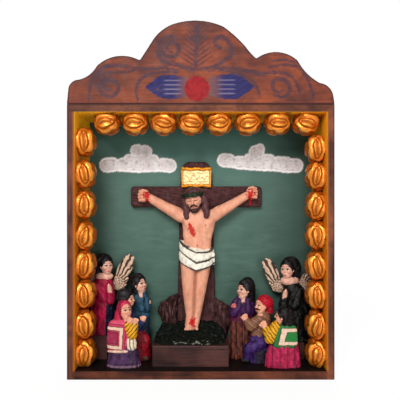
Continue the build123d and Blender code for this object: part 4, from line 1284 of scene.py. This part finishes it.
def build_woman_left(spot, paste):
    """A kneeling woman in purple with a square carrying cloth and a hood."""
    clay = Clay(spot)
    purple = trimmed(
        trimmed(plain(ink(66, 40, 72), 141, 0.4), lambda p: p[:, 2] < 2.2, plain(ink(122, 92, 110), 142)),
        lambda p: (p[:, 0] > 9.5) & (abs(np.sin(0.9 * p[:, 0])) > 0.9), plain(ink(40, 22, 48), 142),
    )
    skirt = [(0, 0.3, 14.5, 8.0), (4, 0.3, 14.2, 8.0), (12, 0.2, 13.0, 7.8), (16, 0, 10.8, 7.4)]
    bodice = [(14, 0, 10.6, 7.0), (26, 0, 9.2, 6.6), (35, -0.5, 7.8, 6.0), (41, -1, 5.4, 5)]
    clay.robe(skirt, purple, 16, 0.09, 16)
    clay.robe(bodice, plain(MAROON, 143))
    apron = banded((1, 0, 0.1), 2.9, [CREAM, CREAM, CREAM * 0.8, BLACK], 0.4)
    clay.egg((7.6, -4.6, 20.6), (4.9, 3.2, 5.8), apron, turned(-4), 0.75)
    dark = MAROON * 0.6
    manta = squares(
        (-8.6, -8, 26.2), (1, 0, -0.05), (0.1, 0, 1), 13.0, 13.6,
        [0.34, 0.39, 0.45, 0.49, 0.68, 0.73, 0.84, 0.88],
        [ink(150, 36, 70), MAROON, ink(176, 60, 80), MAROON, ink(226, 190, 162), dark, ink(196, 52, 86), dark,
         ink(204, 70, 98)],
    )
    clay.egg((-4.4, -4.2, 27.0), (8.9, 4.2, 13.8), manta, turned(3), 0.5)
    clay.egg((-4.0, -4.6, 14.4), (9.2, 4.1, 1.1), plain(ink(214, 178, 156), 147), power=0.6)
    yellow = banded((0.75, 0, -0.66), 2.6, [YELLOW, YELLOW, YELLOW, BLACK], 0.2)
    clay.chain([(4.6, -4.2, 36), (8.4, -5.6, 28.5), (10.6, -5.2, 36)], (4.6, 4.3, 3.9, 3.0), yellow)
    skin = plain(SKIN, 144, 0.08)
    clay.hand((10.6, -5.0, 38.6), (0.35, 0, 1), 4.0, skin)
    clay.egg((6.4, -5.6, 40.4), (3.0, 2.6, 2.8), skin)
    head = Head(clay, (1.8, -2.2, 47.6), (5.8, 5.6, 7.6), 36, 14)
    head.face(SKIN)

    def hood(p):
        side, forward, _ = head.shares(p)
        table = np.array([ink(182, 34, 66), MAROON * 0.5, ink(160, 26, 56), MAROON * 0.5, ink(196, 50, 82)])
        back = forward - 0.12 * abs(side) + 0.02 * ripple(p, 4.0, 145)
        return table[np.searchsorted([-0.2, -0.08, 0.14, 0.24], back)]
    head.egg((0, -0.28, 0.27), (1.14, 0.98, 1.06), hood)
    head.egg((0, -0.6, -0.5), (1.12, 0.76, 1.0), hood)
    clay.limb((-2.0, -0.6, 45), (-3.4, -1.0, 38.6), 5.4, 5.0, hood)
    clay.finish("kneeling_woman_left", paste, ["woman_left"], seed=141)


def build_man_left(spot, paste):
    """A kneeling man in red and navy, and his felt hat."""
    clay = Clay(spot)
    red, navy = plain(ink(128, 10, 24), 151, 0.3), plain(ink(34, 44, 92), 152, 0.3)
    clay.robe([(0, 3.4, 11.6, 5.3), (10, 4, 11.2, 5.4), (20, 2, 10.0, 5.4), (26, 1, 9.2, 5.2)], red, 9, 0.08)
    clay.egg((9.2, -1.4, 13.4), (6.0, 4.2, 10.8), red, turned(8))
    clay.robe([(24, 1, 9.2, 5.2), (34, -4, 8.8, 5.3), (43, -6.8, 7.0, 4.8), (48.5, -7.2, 4.2, 3.8)], navy)
    clay.chain([(-2.4, -2.6, 41), (3.4, -3.6, 29.5), (7.6, -3.6, 34)], (3.9, 3.8, 3.4, 2.9), navy)
    clay.hand((8.8, -3.5, 36.4), (0.3, 0, 1), 3.8, plain(SKIN, 153, 0.08))
    clay.egg((10.8, -2.6, 2.0), (3.8, 2.8, 2.0), plain(ink(62, 36, 30), 154), power=0.8)
    head = Head(clay, (-4.4, -0.6, 53.6), (5.6, 5.4, 6.8), 66, 8)
    head.face(SKIN)
    head.hair(locks(HAIR, 155), 0.3)
    clay.finish("kneeling_man_left", paste, ["man_left"], seed=151)
    hat = Clay(spot)
    felt = plain(ink(28, 26, 29), 156, 0.25)
    hat.robe([(54.6, -8.6, 7.6, 6.8), (55.4, -8.6, 7.8, 7.0), (56.6, -8.6, 7.0, 6.3)], felt)
    hat.robe([(55.6, -8.6, 6.6, 6.1), (57.8, -8.6, 6.5, 6.0)], plain(ink(10, 9, 10), 157, 0.2))
    hat.egg((-8.6, 0, 58.0), (6.4, 5.9, 5.6), felt, power=0.8)
    hat.finish("felt_hat", paste, ["hat"], voxel=FINE, seed=156, relax=2, rough=0.1)


def build_onlooker_left(spot, paste):
    """A standing figure in teal with long black hair."""
    clay = Clay(spot)
    dark = plain(ink(24, 40, 58), 162, 0.3)
    teal = trimmed(plain(ink(34, 66, 84), 161, 0.45), lambda p: p[:, 2] < 36, dark)
    clay.robe([(0, 0, 8.0, 5.2), (20, 0, 8.0, 5.2), (36, 0.2, 7.8, 5.1), (44, 0.4, 8.2, 5.2),
               (52, 0.5, 7.8, 5.0), (57, 0.6, 5.8, 4.4), (61, 0.8, 3.2, 3.2)], teal, 9, 0.1, 50)
    clay.chain([(-4.2, -2.2, 53), (1.2, -3.2, 43.5)], (3.5, 3.5), teal)
    clay.chain([(4.6, -2.2, 53), (5.6, -3.0, 43.5), (7.4, -2.6, 47)], (3.4, 3.4, 3.0, 2.5), teal)
    clay.hand((7.6, -2.6, 48.4), (0.15, 0, 1), 3.2, plain(PALE_SKIN * 0.85, 163, 0.08))
    head = Head(clay, (-0.4, -1.2, 65.6), (6.4, 5.4, 8.4), 54, 12)
    head.face(PALE_SKIN)
    black = locks(HAIR, 164)
    head.hair(black, 0.7)
    clay.egg((-3.0, 0.6, 67.6), (7.6, 5.8, 8.4), black)
    clay.limb((-5.4, 0.2, 66), (-5.6, 0.6, 60.6), 5.0, 4.2, black)
    clay.finish("onlooker_left_figure", paste, ["onlooker_left"], seed=161)


def build_onlooker_right(spot, paste):
    """A standing woman in purple over a striped skirt."""
    clay = Clay(spot)
    striped = trimmed(
        plain(ink(98, 48, 36), 171, 0.4), lambda p: abs(np.sin(0.62 * p[:, 0] + 0.02 * p[:, 2])) > 0.95,
        plain(ink(40, 16, 16), 172),
    )
    purple, maroon = plain(ink(54, 20, 66), 173, 0.45), plain(ink(82, 18, 48), 174, 0.35)
    skirt = [(0, 0.8, 11.2, 6.2), (12, 1, 10.6, 6.2), (30, 1.4, 10.2, 6.2), (34, 1.6, 10.4, 6.2)]
    cape = [(39.5, 2.4, 11.8, 6.2), (46, 2.8, 11.8, 6.0), (52, 3.4, 9.4, 5.2), (57, 4.2, 5, 4)]
    clay.robe(skirt, striped, 13, 0.2)
    clay.robe([(31, 1.6, 10.2, 6.1), (38, 2.2, 11.0, 6.2), (41, 2.4, 11.4, 6.2)], maroon, 9, 0.08)
    clay.robe(cape, purple, 12, 0.1)
    clay.chain([(0, -2.8, 48), (-5.4, -4.4, 41), (-4.6, -4.8, 45)], (3.8, 3.8, 3.2, 2.6), purple)
    clay.hand((-4.9, -4.8, 47), (-0.3, 0, 0.7), 3.4, plain(ink(186, 96, 92), 175, 0.08))
    head = Head(clay, (3.4, -1.6, 61.2), (6.4, 5.6, 8.4), -54, 10, 4)
    head.face(PALE_SKIN)
    black = locks(HAIR, 176)
    head.hair(black, 0.5, 0.04)
    clay.egg((7.4, 0.2, 63.8), (7.0, 5.8, 9.4), black)
    clay.limb((9.0, 0.4, 62), (10.8, 0.4, 47), 5.6, 3.2, black)
    clay.finish("onlooker_right_figure", paste, ["onlooker_right"], seed=171)


def build_man_right(spot, paste):
    """A kneeling man in a striped poncho, and his knitted cap."""
    clay = Clay(spot)
    blue = plain(ink(52, 28, 84), 181, 0.5)
    shaded = trimmed(blue, lambda p: (p[:, 2] < 12) & (p[:, 0] > -3), plain(ink(36, 30, 44), 182, 0.3))
    clay.robe([(0, 1.4, 9.6, 5.2), (10, 1.2, 9.6, 5.2), (22, 1.4, 8.6, 5.2), (26, 2, 8, 5)], shaded, 9, 0.12)
    clay.limb((4.6, -1.8, 19.4), (-8.6, -1.8, 12), 6.2, 5.4, blue)
    clay.limb((-8.6, -1.8, 11), (-10.2, -1.6, 5.4), 4.8, 3.6, blue)
    clay.egg((-11.6, -1.8, 2.2), (4.4, 3.2, 2.2), plain(BLACK, 183), power=0.8)
    browns = [ink(130, 88, 64), ink(104, 66, 48), ink(146, 106, 80), ink(120, 76, 54)]
    poncho = banded((0.6, 0, 0.8), 4.2, browns)
    clay.robe([(24, 1.6, 8.4, 5.2), (32, 2.2, 8.4, 5.2), (39, 3.4, 7.4, 4.9), (45, 4.8, 4.2, 3.8)], poncho)
    clay.chain([(0.8, -2.4, 38), (-7.0, -2.8, 32.6), (-10.4, -2.8, 36.6)], (4.8, 5.0, 4.4, 3.4), poncho)
    clay.hand((-11.8, -2.8, 39.0), (-0.25, 0, 1), 4.2, plain(SKIN, 184, 0.08))
    head = Head(clay, (2.0, -1.4, 49.4), (5.8, 5.4, 7.6), -56, 14, 4)
    head.face(SKIN)
    black = plain(BLACK, 185)
    for side in (-1, 1):
        head.limb((side * 0.04, 0.96, -0.34), (side * 0.5, 0.72, -0.44), 0.14, 0.1, black)
        head.limb((side * 0.04, 0.84, -0.72), (side * 0.3, 0.72, -0.66), 0.07, 0.06, black)
    head.egg((0, -0.3, 0.2), (0.98, 0.9, 0.84), black)
    clay.finish("kneeling_man_right", paste, ["man_right"], seed=181)
    cap = Clay(spot)
    knit = banded((0.5, 0, 0.86), 2.2, [ink(186, 18, 38), ink(186, 18, 38), ink(120, 8, 26)], 0.5)
    cap.egg((6.0, 0.2, 52.6), (7.4, 6.6, 6.8), knit, turned(34))
    cap.limb((8.4, 0.2, 50), (10.2, -0.2, 44.8), 5.0, 3.0, knit)
    cap.finish("knitted_cap", paste, ["cap"], voxel=FINE, seed=186, relax=2, rough=0.1)


def build_woman_right(spot, paste):
    """A kneeling woman in pink with a green carrying cloth."""
    clay = Clay(spot)
    pink = trimmed(plain(ink(166, 32, 70), 191, 0.3), lambda p: abs(np.sin(0.5 * p[:, 0])) > 0.965,
                   plain(ink(120, 20, 58), 192))
    skirt = [(0, 0, 15.2, 5.8), (8, 0, 14.4, 5.8), (17, 0.4, 12.6, 5.6), (20, 1, 11.6, 5.6)]
    bodice = [(17, 1.6, 11.2, 5.5), (27, 1.8, 10.0, 5.4), (35, 1.2, 7.4, 4.8), (40, 0.6, 4.4, 4)]
    clay.robe(skirt, pink, 14, 0.09)
    clay.robe(bodice, plain(ink(20, 60, 40), 193, 0.3))
    dark = ink(14, 50, 26)
    manta = squares(
        (9.0, -6, 27.0), (1, 0, -0.22), (0, 0, 1), 17.6, 10.2, [0.38, 0.42, 0.68, 0.73, 0.9],
        [ink(34, 118, 52), dark, ink(230, 196, 170), dark, ink(36, 110, 52), ink(16, 58, 32)],
    )
    clay.egg((1.0, -3.0, 26.8), (11.2, 3.0, 10.2), manta, turned(-3), 0.5)
    yellow = banded((0.8, 0, 0.6), 2.7, [YELLOW, YELLOW, YELLOW, BLACK], 0.9)
    clay.chain([(-6.4, -2.0, 35), (-11.4, -2.4, 25), (-14.6, -2.4, 32.6)], (4.6, 4.8, 4.4, 3.4), yellow)
    clay.hand((-16.0, -2.4, 35.6), (-0.4, 0, 1), 4.4, plain(SKIN, 197, 0.08))
    head = Head(clay, (-1.0, -0.6, 43.2), (6.0, 5.4, 7.8), -100, 6)
    head.face(SKIN)
    black = plain(BLACK, 198, 0.3)
    head.hair(black, 0.7, 0.02)
    clay.egg((2.2, -0.8, 44.4), (7.2, 5.2, 7.6), black)
    clay.limb((2.6, -1.6, 44), (5.2, -2.2, 37), 4.8, 3.6, black)
    clay.finish("kneeling_woman_right", paste, ["woman_right"], seed=191)


def build_villagers(paste):
    """Each villager stands where the plinth and the front put its node."""
    left, right = (corner[0] for corner in box_of("plinth"))
    for build, x, y in (
        (build_woman_left, left - 24.5, 14.2), (build_man_left, left - 18.1, 31.3),
        (build_onlooker_left, left - 13.0, 43.0), (build_onlooker_right, right + 11.0, 37.2),
        (build_man_right, right + 26.6, 24.2), (build_woman_right, right + 46.0, 12.0),
    ):
        build((x, FRONT + y, FLOOR), paste)


# Cross, rocks, grass and scroll

def build_cross(paste):
    """The cross with worn round corners and a domed head, brushed along its arms."""
    middle, top = middle_of("cross_upright")[0], box_of("cross_upright")[1][2]
    form = node_form("brushed_cross", ["cross_upright", "cross_beam"], voxel=0.6, rounds=14)
    hollow = form.hollow()
    x, y, z = form.points.T
    dome, half_width, beam_top, beam_foot = 14, 14, top - 22, top - 43
    share = np.clip((z - top + dome) / dome, 0, 1)
    x = middle + (x - middle) * (1 - 0.34 * share ** 2.5)
    form.move(np.stack([x, y, z], 1))
    points = form.points
    level = (abs(x - middle) > half_width) | (z > beam_foot) & (z < beam_top)
    along, upright = ripple(points * (0.16, 1, 1), 1.7, 231), ripple(points * (1, 1, 0.16), 1.7, 232)
    strokes = np.where(level, along, upright)
    put_colours(form.mesh, laid(
        varied(ink(72, 42, 41), points, 0.16, 9.0, 233), (0.45 * step(strokes, 0.2, 1.1), ink(98, 62, 64)),
        (0.5 * step(-strokes, 0.2, 1.0), ink(34, 16, 16)),
        (0.85 * step(-hollow, 0.05, 0.25), ink(24, 12, 12)),
    ))
    put_piece(form.mesh, paste, "cross_paint", ["cross_upright", "cross_beam"])


def build_rocks(paste):
    """Two rocks with upright brush strokes that lean against the foot of the cross."""
    for i, (node, wide, tone) in enumerate((
        ("rock_left", 1.15, ink(46, 24, 24)), ("rock_right", 1.04, ink(66, 38, 38)),
    )):
        inner = (box_of(node)[1 - i][0], 0, 0)
        form = node_form(f"{node}_form", [node], voxel=0.5, rounds=9)
        points = (form.points - inner) * (wide, 1, 1) + inner
        flat = points * (1, 1, 0.15)
        rough = 0.4 * ripple(flat, 4.2, 201 + i) + 0.16 * ripple(flat, 1.7, 203 + i)
        rough = rough + 0.5 * ripple(points, 9, 205)
        form.move(points + form.normals() * rough[:, None])
        strokes = ripple(flat, 1.8, 207 + i)
        colours = laid(
            varied(tone, form.points, 0.2, 8, 208), (0.6 * step(strokes, 0.1, 1.1), ink(112, 74, 76)),
            (0.6 * step(-strokes, 0.2, 1.1), ink(28, 14, 14)),
        )
        # Painted shade in the hollows and lighter ridges.
        put_colours(form.mesh, form.shaded(colours, 0.4))
        put_piece(form.mesh, paste, "rock_paint", [node])


def build_grass(paste):
    """The mound with its lumps, dark green with a few pale marks along the front, and painted shade at its
    left and in its hollows.
    """
    form = node_form("grass_form", ["grass_mound"], voxel=0.5, rounds=8)
    hollow, points = form.hollow(), form.points
    rough = 0.45 * ripple(points, 4.6, 211) + 0.25 * ripple(points, 2.1, 212)
    form.swell(rough * step(points[:, 2], FLOOR + 18.2, FLOOR + 20))
    points = form.points
    x, y, z = points.T
    front = step(y.min() + 9 - y, 0, 3)
    middle = x.mean()
    edge = step(FLOOR + 22.4 - z, 0, 0.8) * step(17 - abs(x - middle - 3), 0, 3)
    pale_marks = ripple(points * (0.6, 1, 1), 5.3, 214) + 0.7 * ripple(points * (1.3, 1, 0.7), 2.3, 215)
    pale_marks = 0.75 * step(pale_marks, 0.5, 1.0) * front * edge
    colours = laid(varied(ink(8, 15, 9), points, 0.3, 3.4, 213), (pale_marks, ink(150, 160, 142)))
    # Painted shade: the grass darker at its left and in its hollows.
    for dark in (step(middle - 22 - x, 0, 9), step(hollow, 0.05, 0.4)):
        colours = laid(colours, (dark, colours * 0.3))
    put_colours(form.mesh, colours)
    put_piece(form.mesh, paste, "grass_paint", ["grass_mound"])


def build_scroll(gold_paint):
    """A gilded scroll with rolled edges and a plain zigzag between two lines."""
    x, _, z = middle_of("title_scroll")
    clay = Clay((x, box_of("title_scroll")[1][1], z + 1.7))

    def coat(p):
        across, up = p[:, 0], p[:, 2]
        rolled = step(abs(up) + 0.3 * ripple(p, 3.0, 222), 6.0, 6.8)
        rim = np.maximum(rolled, 0.8 * step(abs(across), 11.4, 12.4))
        wave = 2.3 * (abs(((across + 30) / 3.4) % 2 - 1) * 2 - 1)
        mark = step(0.62 - abs(up - wave), -0.1, 0.3) * (abs(up) < 3.6) * (abs(across) < 10.6)
        mark = np.maximum(mark, step(0.35 - abs(abs(up) - 4.1), -0.1, 0.2) * (abs(across) < 11))
        cream = varied(ink(238, 208, 150), p, 0.12, 4.0, 221)
        return laid(cream, (rim, ink(216, 134, 26)), (0.85 * mark, ink(168, 88, 22)))
    clay.egg((0, -1.2, 0), (13.4, 1.1, 8.4), coat, power=0.35)
    for z in (-7.8, 7.8):
        bends = [(x, -2.2 - 0.3 * cos(x), z + 0.5 * sin(0.55 * x + z)) for x in np.linspace(-12.6, 12.6, 8)]
        clay.chain(bends, (1.6, 1.4) * 7, coat)
    for x in (-13, 13):
        clay.limb((x, -1.8, -6.4), (x * 1.02, -2.0, 6.8), 1.0, 1.1, coat)
    nodes, slot = ["title_scroll"], "scroll_gilt"
    clay.finish("gilded_scroll", gold_paint, nodes, slot, voxel=FINE, seed=221, relax=1, rough=0.1)


stage()
paint_boards(*dress_boards())
build_roses()
paste = paste_material("painted_paste")
matt = paste_material("rough_paste", 0.65, 0.0, 0.8, 0.06)
gold_paint = paste_material("gold_leaf_paint", 0.34, 0.35)
hung_at = (middle_of("cross_upright")[0], box_of("cross_upright")[0][1], middle_of("cross_beam")[2])
build_corpus(hung_at, paste)
build_head(hung_at, paste)
build_cloth(hung_at, paste)
build_angels(paste)
build_villagers(paste)
build_cross(matt)
build_rocks(matt)
build_grass(matt)
build_scroll(gold_paint)

boxes = {"cad": cad_box, "visual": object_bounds()}
{key: [list(corner) for corner in value] for key, value in boxes.items()}
